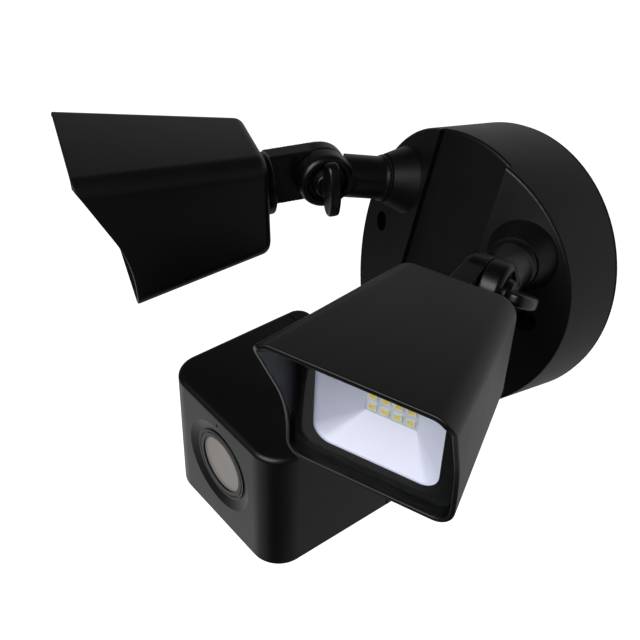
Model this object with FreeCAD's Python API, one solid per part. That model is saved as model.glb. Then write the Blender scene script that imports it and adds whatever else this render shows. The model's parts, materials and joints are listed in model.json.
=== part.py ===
import FreeCAD, Part
import math
import os

from FreeCAD import Placement, Rotation, Vector

# Wall-mounted security camera with two floodlights, in millimetres.
# The wall is the plane y = 0, the object looks along -Y, +Z is up and +X is to the right of
# someone who faces it. The origin is the centre of the wall face of the base.

# ---- base canopy ----
CANOPY_RADIUS = 65.0
CANOPY_WALL = 3.0
CHANNEL_HALF_WIDTH = 20.0
CHANNEL_FLOOR_Y = 47.0          # channel floor, distance from the wall
CHANNEL_DEPTH = 3.0             # from the floor out to the inner edge of each facet
FACET_ANGLE = 20.0              # each facet is canted outwards by this angle
RIM_FILLET = 1.4
SOCKET_X = 37.9                 # centre of each light socket on its facet
SOCKET_Z = 28.0
SOCKET_BASE_RADIUS = 16.0
SOCKET_TIP_RADIUS = 11.4
SOCKET_HEIGHT = 11.0
GASKET_THICKNESS = 2.5
GASKET_WIDTH = 5.5
GASKET_INSET = 0.6

# ---- mounting plate and what fastens the canopy ----
PLATE_GAP = 1.4                 # between the plate and the inside of the gasket
PLATE_THICKNESS = 2.5
PLATE_RADIUS = CANOPY_RADIUS - GASKET_INSET - GASKET_WIDTH - PLATE_GAP
PLATE_WIRE_HOLE_RADIUS = 10.0
PLATE_WIRE_HOLE_Z = 17.0
BOX_HOLE_RADIUS = 2.4
BOX_SPACING_WIDE = 88.9         # round outlet box
BOX_SPACING_NARROW = 69.85      # small outlet box
CANOPY_SCREW_X = 48.2
CANOPY_SCREW_RADIUS = 2.0
CANOPY_SCREW_HEAD_RADIUS = 4.2
CANOPY_SCREW_HEAD_HEIGHT = 3.0
CANOPY_SCREW_SEAT_Y = 32.0      # bottom of the counterbore, distance from the wall
SCREW_POST_WALL = 2.6
COUNTERBORE_GAP = 0.6
CROSS_LENGTH = 5.6
CROSS_WIDTH = 1.3
CROSS_DEPTH = 1.6
GROUND_SCREW_X = 26.0
GROUND_SCREW_Z = 34.0
GROUND_SCREW_RADIUS = 1.9
GROUND_SCREW_HEAD_RADIUS = 4.0
GROUND_SCREW_HEAD_HEIGHT = 2.4

# ---- electrics in the canopy ----
DRIVER_SIZE = (56.0, 16.0, 30.0)
DRIVER_CENTRE_Z = -8.0
DRIVER_FOOT_THICKNESS = 1.6
DRIVER_FOOT_LENGTH = 6.0
TERMINAL_SIZE = (24.0, 12.0, 9.0)
TERMINAL_CENTRE = (-6.0, 42.0)
TERMINAL_WAYS = 3
TERMINAL_WAY_RADIUS = 1.7

# ---- light arms ----
ARM_LENGTH = 42.7               # facet to knuckle axis
TUBE_RADIUS = 10.0
COLLAR_RADIUS = 11.2
COLLAR_LENGTH = 2.4
EAR_RADIUS = 12.8
EAR_THICKNESS = 9.2            # outer face of each knuckle half, from the arm's centre plane
EAR_FILLET = 2.6
STEM_RADIUS = 6.4
WIRE_HOLE_RADIUS = 3.6
SEAL_THICKNESS = 0.9
SEAL_INSET = 1.0

# ---- camera arm ----
CAMERA_SOCKET_Z = -42.5
CAMERA_SOCKET_BASE_RADIUS = 14.0
CAMERA_SOCKET_TIP_RADIUS = 12.6
CAMERA_SOCKET_HEIGHT = 3.4
CAMERA_ARM_LENGTH = 22.5
CAMERA_TUBE_RADIUS = 8.4
CAMERA_COLLAR_RADIUS = 11.8
CAMERA_COLLAR_LENGTH = 4.4
CAMERA_EAR_RADIUS = 11.5
CAMERA_EAR_THICKNESS = 8.5
CAMERA_EAR_FILLET = 1.8
CAMERA_STEM_RADIUS = 5.6
CAMERA_WIRE_HOLE_RADIUS = 2.8

# ---- fits ----
BODY_GAP = 0.3                  # between pieces that move past each other
RUNNING_CLEARANCE = 0.05        # shaft in a hole, on the radius
THREAD_CLEARANCE = 0.05         # screw in its own thread, on the radius
SWEEP_CLEARANCE = 0.6           # round the knuckle half that swings past a tube
POCKET_GAP = 0.15

# ---- knuckle hardware ----
KNUCKLE_SCREW_RADIUS = 3.0
HUB_RADIUS = 7.4
HUB_RECESS_RADIUS = 9.4
HUB_RECESS_DEPTH = 2.2
HUB_HEIGHT = 4.4
PADDLE_REACH = 13.2
PADDLE_HEIGHT = 11.0
PADDLE_THICKNESS = 5.4
PADDLE_STANDOFF = 1.3
HUB_TIP_SHARE = 0.8             # the hub narrows to this share of its radius
PADDLE_FILLET_SHARE = 0.55      # of half the paddle's thickness
PADDLE_END_SHARE = 0.42         # radius of the paddle's ends, of its height
KNUCKLE_NUT_FLATS = 10.0
KNUCKLE_NUT_HEIGHT = 4.0
KNUCKLE_NUT_PROUD = 0.6
LOCK_NUT_THICKNESS = 5.0
LOCK_NUT_WALL = 4.0
STEM_PROUD = 1.0                # end of the stem beyond its lock nut
CAMERA_HUB_RADIUS = 5.8
CAMERA_HUB_RECESS_RADIUS = 6.5
CAMERA_HUB_RECESS_DEPTH = 1.2
CAMERA_HUB_HEIGHT = 3.4
CAMERA_PADDLE_REACH = 10.5
CAMERA_PADDLE_HEIGHT = 7.4
CAMERA_PADDLE_THICKNESS = 3.8
CAMERA_KNUCKLE_SCREW_RADIUS = 2.4
CAMERA_KNUCKLE_NUT_FLATS = 8.0
CAMERA_KNUCKLE_NUT_HEIGHT = 3.2

# ---- light housing, depths measured forward from its back face ----
BACK_DISTANCE = 30.7            # knuckle axis to the back face
SIDE_FLARE = 0.151              # growth of the half width per millimetre of depth
TOP_FLARE = 0.127
BOTTOM_FLARE = 0.131
VISOR_LENGTH = 82.0
LIP_DEPTH = 62.6
WINDOW_WIDTH = 50.0
WINDOW_HEIGHT = 44.0
WINDOW_CORNER = 7.0
SIDE_BORDER = 8.9526            # from the window to the outside of the lip
TOP_BORDER = 10.1502
BOTTOM_BORDER = 10.1006
HOUSING_WIDTH_BACK = WINDOW_WIDTH + 2 * (SIDE_BORDER - SIDE_FLARE * LIP_DEPTH)
HOUSING_TOP_BACK = WINDOW_HEIGHT / 2 + TOP_BORDER - TOP_FLARE * LIP_DEPTH
HOUSING_BOTTOM_BACK = WINDOW_HEIGHT / 2 + BOTTOM_BORDER - BOTTOM_FLARE * LIP_DEPTH
HOUSING_CORNER = 8.0
HOUSING_BACK_FILLET = 4.0
HOUSING_WALL = 2.0
HOUSING_BACK_WALL = 3.0
SIDE_CUT_RADIUS = 66.0
SIDE_CUT_ANGLE = 25.0
SIDE_CUT_FOOT = 9.0             # height of the curve's foot above the bottom lip
LEDGE_WIDTH = 2.0
REAR_BOSS_RADIUS = 15.2
REAR_BOSS_HEIGHT = 1.8

# ---- light bracket ----
FLANGE_RADIUS = 14.2
FLANGE_THICKNESS = 4.2
FLANGE_FILLET = 1.0
TONGUE_HALF_HEIGHT = 12.2
BRACKET_SCREW_RADIUS = 1.5
BRACKET_SCREW_HEAD_RADIUS = 2.8
BRACKET_SCREW_HEAD_HEIGHT = 2.0
BRACKET_SCREW_OFFSET = 9.5
BRACKET_SCREW_BITE = 3.2

# ---- light engine ----
LENS_GASKET_THICKNESS = 0.6
REFLECTOR_FLANGE = 0.8
GLASS_THICKNESS = 2.5
BEZEL_THICKNESS = 0.8
BEZEL_SETBACK = 0.9             # front of the bezel behind the bottom lip
BEZEL_GAP = 0.8
REFLECTOR_BASE_CORNER = 0.6
REFLECTOR_WALL = 1.0
BOARD_GAP = 0.2
REFLECTOR_DEPTH = 10.6
BOARD_WIDTH = 40.0
BOARD_HEIGHT = 36.0
BOARD_THICKNESS = 1.6
LED_ROWS = 4
LED_COLUMNS = 4
LED_PITCH = 5.1
LED_SIZE = (3.5, 0.8, 2.8)
LED_MARGIN = 1.1                # from the outer LEDs to the foot of the reflector
REFLECTOR_BASE = (max(LED_COLUMNS, LED_ROWS) - 1) * LED_PITCH + LED_SIZE[0] + 2 * LED_MARGIN
BOARD_CORNER = 1.0
SINK_WIDTH = 46.0
SINK_HEIGHT = 42.0
SINK_THICKNESS = 3.0
SINK_CORNER = 2.0
FIN_COUNT = 7
FIN_PITCH = 4.0
FIN_THICKNESS = 1.5
FIN_LENGTH = 22.0
FIN_HEIGHT = 38.0
STANDOFF_RADIUS = 3.2
STANDOFF_X = 17.0
STANDOFF_Z = 15.0
BOARD_SCREW_RADIUS = 1.0
BOARD_SCREW_HEAD_RADIUS = 2.0
BOARD_SCREW_HEAD_HEIGHT = 1.2
BOARD_SCREW_BITE = 7.0
BOARD_SCREW_END_GAP = 0.5

# ---- camera body, depths measured back from its front face ----
CAMERA_WIDTH = 78.4
CAMERA_HEIGHT = 65.6
CAMERA_DEPTH = 75.0
CAMERA_BACK_DISTANCE = 17.0     # tilt axis to the back face
CAMERA_DROP = 19.0              # centre of the body below the tilt axis
CAMERA_FRONT_CORNER = 13.6
CAMERA_BACK_CORNER = 7.0
CAMERA_EDGE_FILLET = 2.4
CAMERA_WALL = 2.5
CAMERA_FRONT_WALL = 4.0
COVER_DEPTH = 9.0
COVER_WALL = 3.0
COVER_SPIGOT_LENGTH = 4.0
COVER_SPIGOT_WALL = 2.0
COVER_SPIGOT_GAP = 0.25
COVER_GASKET_THICKNESS = 0.8
COVER_GASKET_INSET = 0.875
SHARP_CORNER = 0.5              # plan radius of hidden inside corners
CAMERA_FLANGE_RADIUS = 11.0
CAMERA_FLANGE_THICKNESS = 3.0
CAMERA_FLANGE_PAD = 1.6
CAMERA_TONGUE_HALF_HEIGHT = 9.0
CAMERA_BRACKET_SCREW_OFFSET = 5.5
CAMERA_BRACKET_SCREW_BITE = 1.8
LENS_CENTRE_Z = 3.2
DISH_RADIUS = 22.0
DISH_FOOT_RADIUS = 17.6
DISH_DEPTH = 1.5
RING_RADIUS = 16.8
RING_INNER_RADIUS = 13.4
RING_PROUD = 0.5
WINDOW_RECESS = 1.0             # front of the window behind the front of its ring
WINDOW_RADIUS = 14.6
WINDOW_THICKNESS = 1.5
RING_GROOVE_RADIUS = 15.6
RING_GROOVE_WIDTH = 0.5
RING_GROOVE_DEPTH = 0.4
MIC_HOLE_RADIUS = 0.7
MIC_HOLE_HEIGHT = 23.8          # above the lens centre
MIC_RADIUS = 3.0
MIC_LENGTH = 2.2
BARREL_RADIUS = 7.0
BARREL_LENGTH = 15.0
BARREL_FRONT_GAP = 2.0
FRONT_ELEMENT_RADIUS = 5.0
FRONT_ELEMENT_THICKNESS = 1.6
HOLDER_SIZE = (20.0, 9.0, 20.0)
SENSOR_BOARD_SIZE = (32.0, 1.6, 32.0)
MAIN_BOARD_SIDE_ROOM = 6.7       # between the main board and the walls
MAIN_BOARD_END_ROOM = 5.3
MAIN_BOARD_SIZE = (
    CAMERA_WIDTH - 2 * (CAMERA_WALL + MAIN_BOARD_SIDE_ROOM),
    1.6,
    CAMERA_HEIGHT - 2 * (CAMERA_WALL + MAIN_BOARD_END_ROOM),
)
MAIN_BOARD_SPACING = 14.0
BOARD_POST_RADIUS = 2.4
BOARD_POST_X = 13.0
BOARD_POST_Z = 13.0
MAIN_POST_INSET = 4.0           # from the main board's edges
MAIN_POST_X = MAIN_BOARD_SIZE[0] / 2 - MAIN_POST_INSET
MAIN_POST_Z = MAIN_BOARD_SIZE[2] / 2 - MAIN_POST_INSET
CHIP_SIZE = (14.0, 1.4, 14.0)
ANTENNA_SIZE = (34.0, 1.0, 8.0)
COVER_SCREW_RADIUS = 1.4
COVER_SCREW_HEAD_RADIUS = 2.6
COVER_SCREW_HEAD_HEIGHT = 1.8
COVER_SCREW_INSET = 5.6          # from the sides, the top and the bottom
COVER_SCREW_X = CAMERA_WIDTH / 2 - COVER_SCREW_INSET
COVER_SCREW_Z = CAMERA_HEIGHT / 2 - COVER_SCREW_INSET
COVER_SCREW_BITE = 8.0
COVER_SCREW_SINK = 0.6          # heads below the cover's back face
COVER_SCREW_SLOT_DEPTH = 0.8
COVER_POST_RADIUS = 3.6
COVER_POST_LENGTH = 14.0

# ---- pose in which the object is set ----
LEFT_SWIVEL = 2.4
LEFT_TILT = 14.3
RIGHT_SWIVEL = -5.2
RIGHT_TILT = 11.9
CAMERA_SWIVEL = -0.9
CAMERA_TILT = 13.4
LEFT_WING_TURN = 14.0
RIGHT_WING_TURN = 68.0
CAMERA_WING_TURN = 90.0

X_AXIS = Vector(1, 0, 0)
Y_AXIS = Vector(0, 1, 0)
Z_AXIS = Vector(0, 0, 1)
FORWARD = Vector(0, -1, 0)
FAR = 400.0                     # larger than the object
TOUCH = 0.01                    # an edge this close to a plane lies in it
BITE = 0.5                      # how far fused pieces run into each other
OVERRUN = 1.0                   # how far a cutting tool runs past a face


# ---------------------------------------------------------------- helpers

def block(size, centre):
    """A box of the given size about its centre."""
    corner = Vector(*centre) - Vector(*size) * 0.5
    return Part.makeBox(size[0], size[1], size[2], corner)


def rod(radius, start, length, direction=FORWARD):
    return Part.makeCylinder(radius, length, Vector(*start), direction)


def taper(radius_1, radius_2, start, length, direction=FORWARD):
    return Part.makeCone(radius_1, radius_2, length, Vector(*start), direction)


def fuse_all(shapes):
    """One solid from several that touch, without the seams between coplanar faces."""
    return shapes[0].multiFuse(shapes[1:]).removeSplitter()


def cut_all(shape, tools):
    return shape.cut(Part.makeCompound(tools))


def group(shapes):
    """Separate solids kept side by side in one node."""
    return Part.makeCompound(shapes)


def rounded_wire(x_low, x_high, z_low, z_high, radius, y):
    """A rectangle with round corners in the plane y."""
    edges = []
    corners = [
        (x_high - radius, z_low + radius, -90),
        (x_high - radius, z_high - radius, 0),
        (x_low + radius, z_high - radius, 90),
        (x_low + radius, z_low + radius, 180),
    ]
    arcs = []
    for x, z, start in corners:
        points = []
        for turn in (0, 45, 90):
            angle = math.radians(start + turn)
            points.append(Vector(x + radius * math.cos(angle), y, z + radius * math.sin(angle)))
        arcs.append(points)
    for number, points in enumerate(arcs):
        following = arcs[(number + 1) % 4]
        edges.append(Part.Arc(points[0], points[1], points[2]).toShape())
        edges.append(Part.LineSegment(points[2], following[0]).toShape())
    return Part.Wire(edges)


def rounded_plate(width, height, radius, y_front, thickness):
    """A flat plate with round corners whose front face lies at y_front and faces -Y."""
    wire = rounded_wire(-width / 2, width / 2, -height / 2, height / 2, radius, y_front)
    return Part.Face(wire).extrude(Y_AXIS * thickness)


def hexagon(flats, start, length, direction):
    """A hexagonal bar along X or Y."""
    corner = flats / math.sqrt(3)
    points = []
    for number in range(7):
        angle = math.radians(60 * number + 30)
        across = corner * math.cos(angle)
        up = corner * math.sin(angle)
        if abs(direction.x) > 0.5:
            points.append(Vector(0, across, up))
        else:
            points.append(Vector(across, 0, up))
    face = Part.Face(Part.makePolygon(points))
    face.translate(Vector(*start))
    return face.extrude(direction * length)


def fillet_where(shape, radius, test):
    """Rounds the edges whose bounding box passes the test."""
    chosen = [edge for edge in shape.Edges if test(edge)]
    return shape.makeFillet(radius, chosen)


def placed(shape, placement):
    moved = shape.copy()
    moved.Placement = placement.multiply(moved.Placement)
    return moved


def save(name, shape):
    shape.exportStep("parts/" + name + ".step")
    print(name, "solids", len(shape.Solids), "volume", round(shape.Volume, 1), "valid", shape.isValid())


# ---------------------------------------------------------------- places

def facet_y(x):
    """Distance of a facet from the wall at the given distance from the centre line."""
    run = x - CHANNEL_HALF_WIDTH
    return CHANNEL_FLOOR_Y + CHANNEL_DEPTH - run * math.tan(math.radians(FACET_ANGLE))


def arm_frame(side):
    """The socket of an arm, before any swivel. Side is -1, 1, or 0 for the camera."""
    if side == 0:
        return Placement(Vector(0, -CHANNEL_FLOOR_Y, CAMERA_SOCKET_Z), Rotation())
    origin = Vector(side * SOCKET_X, -facet_y(SOCKET_X), SOCKET_Z)
    return Placement(origin, Rotation(Z_AXIS, side * FACET_ANGLE))


def swivelled(side, swivel):
    return arm_frame(side).multiply(Placement(Vector(), Rotation(Y_AXIS, swivel)))


def knuckle(side, swivel, length):
    """The arm's frame moved out to the knuckle axis."""
    return swivelled(side, swivel).multiply(Placement(Vector(0, -length, 0), Rotation()))


def tilted(side, swivel, length, tilt):
    return knuckle(side, swivel, length).multiply(Placement(Vector(), Rotation(X_AXIS, tilt)))


# ---------------------------------------------------------------- base

def canopy_block(radius, setback):
    """The canopy's outline, or its inside when radius and front are set back by the wall."""
    back_y = -GASKET_THICKNESS
    floor = CHANNEL_FLOOR_Y - setback
    crest = CHANNEL_FLOOR_Y + CHANNEL_DEPTH
    body = rod(radius, (0, back_y, 0), crest - GASKET_THICKNESS)
    cant = math.radians(FACET_ANGLE)
    half = CHANNEL_HALF_WIDTH + setback
    reach = 2 * radius
    tools = []
    for side in (-1, 1):
        start = CHANNEL_HALF_WIDTH - setback
        points = [
            Vector(side * start, -facet_y(start) + setback / math.cos(cant), -FAR),
            Vector(side * reach, -facet_y(reach) + setback / math.cos(cant), -FAR),
            Vector(side * reach, -FAR, -FAR),
            Vector(side * start, -FAR, -FAR),
        ]
        face = Part.Face(Part.makePolygon(points + [points[0]]))
        tools.append(face.extrude(Z_AXIS * 2 * FAR))
    tools.append(block((2 * half, FAR, 2 * FAR), (0, -floor - FAR / 2, 0)))
    return cut_all(body, tools)


def socket(side):
    """A conical socket on the canopy, in world coordinates, and the bore through it."""
    if side == 0:
        base, tip, height = CAMERA_SOCKET_BASE_RADIUS, CAMERA_SOCKET_TIP_RADIUS, CAMERA_SOCKET_HEIGHT
        bore = CAMERA_STEM_RADIUS + RUNNING_CLEARANCE
    else:
        base, tip, height = SOCKET_BASE_RADIUS, SOCKET_TIP_RADIUS, SOCKET_HEIGHT
        bore = STEM_RADIUS + RUNNING_CLEARANCE
    cone = taper(base, tip, (0, 0, 0), height)
    root = rod(base, (0, CANOPY_WALL / 2, 0), CANOPY_WALL / 2)
    hole = rod(bore, (0, 3 * CANOPY_WALL, 0), 3 * CANOPY_WALL + height + OVERRUN)
    frame = arm_frame(side)
    return placed(fuse_all([cone, root]), frame), placed(hole, frame)


def canopy():
    outer = canopy_block(CANOPY_RADIUS, 0)
    rim = CANOPY_RADIUS - TOUCH

    def on_rim(edge):
        box = edge.BoundBox
        middle = edge.valueAt((edge.FirstParameter + edge.LastParameter) / 2)
        round_edge = math.hypot(middle.x, middle.z) > rim
        return round_edge and box.YMax < -GASKET_THICKNESS - OVERRUN and box.ZLength > 2 * RIM_FILLET

    outer = fillet_where(outer, RIM_FILLET, on_rim)
    inner = canopy_block(CANOPY_RADIUS - CANOPY_WALL, CANOPY_WALL)
    inner = inner.fuse(rod(CANOPY_RADIUS - CANOPY_WALL, (0, 0, 0), CANOPY_WALL + GASKET_THICKNESS))
    shell = outer.cut(inner)
    added = []
    removed = []
    for side in (-1, 0, 1):
        cone, hole = socket(side)
        added.append(cone)
        removed.append(hole)
    for side in (-1, 1):
        x = side * CANOPY_SCREW_X
        bore_radius = CANOPY_SCREW_HEAD_RADIUS + COUNTERBORE_GAP
        post_radius = bore_radius + SCREW_POST_WALL
        post_end = GASKET_THICKNESS + PLATE_THICKNESS
        post = rod(post_radius, (x, -post_end, 0), CHANNEL_FLOOR_Y + CHANNEL_DEPTH - post_end)
        added.append(post.common(outer))
        removed.append(rod(CANOPY_SCREW_RADIUS + BODY_GAP, (x, 0, 0), CHANNEL_FLOOR_Y))
        removed.append(rod(bore_radius, (x, -CANOPY_SCREW_SEAT_Y, 0), CANOPY_RADIUS))
    shell = fuse_all([shell] + added)
    return cut_all(shell, removed)


def wall_gasket():
    outer_radius = CANOPY_RADIUS - GASKET_INSET
    ring = rod(outer_radius, (0, 0, 0), GASKET_THICKNESS)
    return ring.cut(rod(outer_radius - GASKET_WIDTH, (0, OVERRUN, 0), GASKET_THICKNESS + 2 * OVERRUN))


def mounting_plate():
    plate = rod(PLATE_RADIUS, (0, 0, 0), PLATE_THICKNESS)
    through = PLATE_THICKNESS + 2 * OVERRUN
    holes = [rod(PLATE_WIRE_HOLE_RADIUS, (0, OVERRUN, PLATE_WIRE_HOLE_Z), through)]
    for spacing in (BOX_SPACING_WIDE, BOX_SPACING_NARROW):
        for side in (-1, 1):
            holes.append(rod(BOX_HOLE_RADIUS, (0, OVERRUN, side * spacing / 2), through))
    for side in (-1, 1):
        holes.append(rod(CANOPY_SCREW_RADIUS + THREAD_CLEARANCE, (side * CANOPY_SCREW_X, OVERRUN, 0), through))
    ground = (GROUND_SCREW_X, OVERRUN, GROUND_SCREW_Z)
    holes.append(rod(GROUND_SCREW_RADIUS + THREAD_CLEARANCE, ground, through))
    return cut_all(plate, holes)


def cross_slot(x, z, face_y, depth):
    """A cross recess that opens towards -Y in a face at -face_y."""
    centre = (x, -face_y + depth / 2, z)
    bars = [
        block((CROSS_LENGTH, depth, CROSS_WIDTH), centre),
        block((CROSS_WIDTH, depth, CROSS_LENGTH), centre),
    ]
    return fuse_all(bars)


def canopy_screws():
    screws = []
    for side in (-1, 1):
        x = side * CANOPY_SCREW_X
        seat = CANOPY_SCREW_SEAT_Y
        shank = rod(CANOPY_SCREW_RADIUS, (x, 0, 0), seat + BITE)
        head = rod(CANOPY_SCREW_HEAD_RADIUS, (x, -seat, 0), CANOPY_SCREW_HEAD_HEIGHT)
        top = seat + CANOPY_SCREW_HEAD_HEIGHT
        screw = fuse_all([shank, head]).cut(cross_slot(x, 0, top, CROSS_DEPTH))
        screws.append(screw)
    return group(screws)


def ground_screw():
    start = (GROUND_SCREW_X, 0, GROUND_SCREW_Z)
    seat = (GROUND_SCREW_X, -PLATE_THICKNESS, GROUND_SCREW_Z)
    shank = rod(GROUND_SCREW_RADIUS, start, PLATE_THICKNESS)
    head = hexagon(2 * GROUND_SCREW_HEAD_RADIUS, seat, GROUND_SCREW_HEAD_HEIGHT, FORWARD)
    return fuse_all([shank, head])


def led_driver():
    """The supply for both lights: a potted case with two feet on the mounting plate."""
    width, depth, height = DRIVER_SIZE
    case = block(DRIVER_SIZE, (0, -PLATE_THICKNESS - depth / 2, DRIVER_CENTRE_Z))
    feet_width = width + 2 * DRIVER_FOOT_LENGTH
    foot_y = -PLATE_THICKNESS - DRIVER_FOOT_THICKNESS / 2
    feet = block((feet_width, DRIVER_FOOT_THICKNESS, height / 2), (0, foot_y, DRIVER_CENTRE_Z))
    return fuse_all([case, feet])


def terminal_block():
    width, depth, height = TERMINAL_SIZE
    x, z = TERMINAL_CENTRE
    body = block(TERMINAL_SIZE, (x, -PLATE_THICKNESS - depth / 2, z))
    pitch = width / TERMINAL_WAYS
    holes = []
    for way in range(TERMINAL_WAYS):
        way_x = x + (way - (TERMINAL_WAYS - 1) / 2) * pitch
        start = (way_x, -PLATE_THICKNESS - depth / 2, z - height)
        holes.append(rod(TERMINAL_WAY_RADIUS, start, 2 * height, Z_AXIS))
        screw_start = (way_x, -PLATE_THICKNESS - depth / 2, z)
        holes.append(rod(TERMINAL_WAY_RADIUS, screw_start, depth))
    return cut_all(body, holes)


# ---------------------------------------------------------------- arms, in the arm frame

class ArmSizes:
    """The sizes of one arm and its knuckle."""

    def __init__(self, camera):
        self.length = CAMERA_ARM_LENGTH if camera else ARM_LENGTH
        self.tube = CAMERA_TUBE_RADIUS if camera else TUBE_RADIUS
        self.collar = CAMERA_COLLAR_RADIUS if camera else COLLAR_RADIUS
        self.collar_length = CAMERA_COLLAR_LENGTH if camera else COLLAR_LENGTH
        self.ear = CAMERA_EAR_RADIUS if camera else EAR_RADIUS
        self.thickness = CAMERA_EAR_THICKNESS if camera else EAR_THICKNESS
        self.fillet = CAMERA_EAR_FILLET if camera else EAR_FILLET
        self.stem = CAMERA_STEM_RADIUS if camera else STEM_RADIUS
        self.wire_hole = CAMERA_WIRE_HOLE_RADIUS if camera else WIRE_HOLE_RADIUS
        self.socket_height = CAMERA_SOCKET_HEIGHT if camera else SOCKET_HEIGHT
        self.socket_tip = CAMERA_SOCKET_TIP_RADIUS if camera else SOCKET_TIP_RADIUS
        self.screw = CAMERA_KNUCKLE_SCREW_RADIUS if camera else KNUCKLE_SCREW_RADIUS
        self.hub = CAMERA_HUB_RADIUS if camera else HUB_RADIUS
        self.hub_recess = CAMERA_HUB_RECESS_RADIUS if camera else HUB_RECESS_RADIUS
        self.hub_recess_depth = CAMERA_HUB_RECESS_DEPTH if camera else HUB_RECESS_DEPTH
        self.hub_height = CAMERA_HUB_HEIGHT if camera else HUB_HEIGHT
        self.paddle_reach = CAMERA_PADDLE_REACH if camera else PADDLE_REACH
        self.paddle_height = CAMERA_PADDLE_HEIGHT if camera else PADDLE_HEIGHT
        self.paddle_thickness = CAMERA_PADDLE_THICKNESS if camera else PADDLE_THICKNESS
        self.nut_flats = CAMERA_KNUCKLE_NUT_FLATS if camera else KNUCKLE_NUT_FLATS
        self.nut_height = CAMERA_KNUCKLE_NUT_HEIGHT if camera else KNUCKLE_NUT_HEIGHT
        self.tongue = CAMERA_TONGUE_HALF_HEIGHT if camera else TONGUE_HALF_HEIGHT
        self.flange = CAMERA_FLANGE_RADIUS if camera else FLANGE_RADIUS
        self.flange_thickness = CAMERA_FLANGE_THICKNESS if camera else FLANGE_THICKNESS
        back = CAMERA_BACK_DISTANCE if camera else BACK_DISTANCE
        pad = CAMERA_FLANGE_PAD if camera else REAR_BOSS_HEIGHT
        self.flange_front = back - pad


def knuckle_half(sizes, side):
    """A round knuckle half on the X axis, on the +X side or the -X side of the centre plane."""
    inner = BODY_GAP / 2
    disc = rod(sizes.ear, (side * inner, 0, 0), sizes.thickness - inner, X_AXIS * side)
    outer_x = side * sizes.thickness

    def on_outer_rim(edge):
        return abs(edge.BoundBox.XMin - outer_x) < TOUCH and abs(edge.BoundBox.XMax - outer_x) < TOUCH

    return fillet_where(disc, sizes.fillet, on_outer_rim)


def arm_casting(sizes):
    """Stem, collar, tube and the +X knuckle half. The origin is the socket's foot."""
    start = sizes.socket_height + SEAL_THICKNESS + BODY_GAP
    inside = CANOPY_WALL + 2 * BODY_GAP + LOCK_NUT_THICKNESS + STEM_PROUD
    stem = rod(sizes.stem, (0, inside, 0), inside + start + BITE)
    collar = taper(sizes.collar, sizes.tube, (0, -start, 0), sizes.collar_length)
    tube = rod(sizes.tube, (0, -start, 0), sizes.length - start)
    swept = sizes.ear + SWEEP_CLEARANCE
    pass_by = rod(swept, (BODY_GAP / 2, -sizes.length, 0), FAR, -X_AXIS)
    beside = rod(swept, (sizes.thickness, -sizes.length, 0), FAR, X_AXIS)
    tube = cut_all(tube, [pass_by, beside])
    ear = knuckle_half(sizes, 1)
    ear.translate(Vector(0, -sizes.length, 0))
    casting = fuse_all([stem, collar, tube, ear])
    pivot = rod(sizes.screw + RUNNING_CLEARANCE, (-OVERRUN, -sizes.length, 0), FAR, X_AXIS)
    recess_x = sizes.thickness - sizes.hub_recess_depth
    recess = rod(sizes.hub_recess, (recess_x, -sizes.length, 0), FAR, X_AXIS)
    wire_end = sizes.length - sizes.ear
    wires = rod(sizes.wire_hole, (0, inside + OVERRUN, 0), inside + OVERRUN + wire_end)
    return cut_all(casting, [pivot, recess, wires])


def arm_seal(sizes):
    """A rubber ring between the arm's collar and its socket."""
    start = sizes.socket_height + BODY_GAP
    ring = rod(sizes.socket_tip - SEAL_INSET, (0, -start, 0), SEAL_THICKNESS)
    return ring.cut(rod(sizes.stem, (0, 0, 0), FAR))


def lock_nut(sizes):
    """The nut that holds an arm's stem from inside the canopy."""
    start = CANOPY_WALL + BODY_GAP
    nut = hexagon(2 * (sizes.stem + LOCK_NUT_WALL), (0, start, 0), LOCK_NUT_THICKNESS, Y_AXIS)
    return nut.cut(rod(sizes.stem, (0, start + LOCK_NUT_THICKNESS + OVERRUN, 0), FAR))


def wing_screw(sizes):
    """A screw along X through both knuckle halves, with a half-moon paddle to turn it by."""
    nut_end = -sizes.thickness - KNUCKLE_NUT_PROUD
    hub_start = sizes.thickness - sizes.hub_recess_depth + BODY_GAP
    shaft = rod(sizes.screw, (nut_end, 0, 0), hub_start - nut_end + BITE, X_AXIS)
    hub = taper(sizes.hub, sizes.hub * HUB_TIP_SHARE, (hub_start, 0, 0), sizes.hub_height, X_AXIS)
    near = sizes.thickness + PADDLE_STANDOFF
    half = sizes.paddle_thickness / 2
    height = sizes.paddle_height
    end = height * PADDLE_END_SHARE
    straight = sizes.paddle_reach - end
    crown = ((height - end) ** 2 + straight ** 2 - end ** 2) / (2 * (height - 2 * end))
    crown_x = near + height - crown
    lean = math.atan2(straight, near + end - crown_x)
    halfway = (math.pi + lean) / 2

    def at(x, z):
        return Vector(x, -half, z)

    meet_x = crown_x + crown * math.cos(lean)
    meet_z = crown * math.sin(lean)
    round_x = near + end + end * math.cos(halfway)
    round_z = straight + end * math.sin(halfway)
    edges = [
        Part.LineSegment(at(near, -straight), at(near, straight)).toShape(),
        Part.Arc(at(near, straight), at(round_x, round_z), at(meet_x, meet_z)).toShape(),
        Part.Arc(at(meet_x, meet_z), at(near + height, 0), at(meet_x, -meet_z)).toShape(),
        Part.Arc(at(meet_x, -meet_z), at(round_x, -round_z), at(near, -straight)).toShape(),
    ]
    paddle = Part.Face(Part.Wire(edges)).extrude(Y_AXIS * sizes.paddle_thickness)
    paddle = paddle.makeFillet(half * PADDLE_FILLET_SHARE, paddle.Edges)
    return fuse_all([shaft, hub, paddle])


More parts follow.
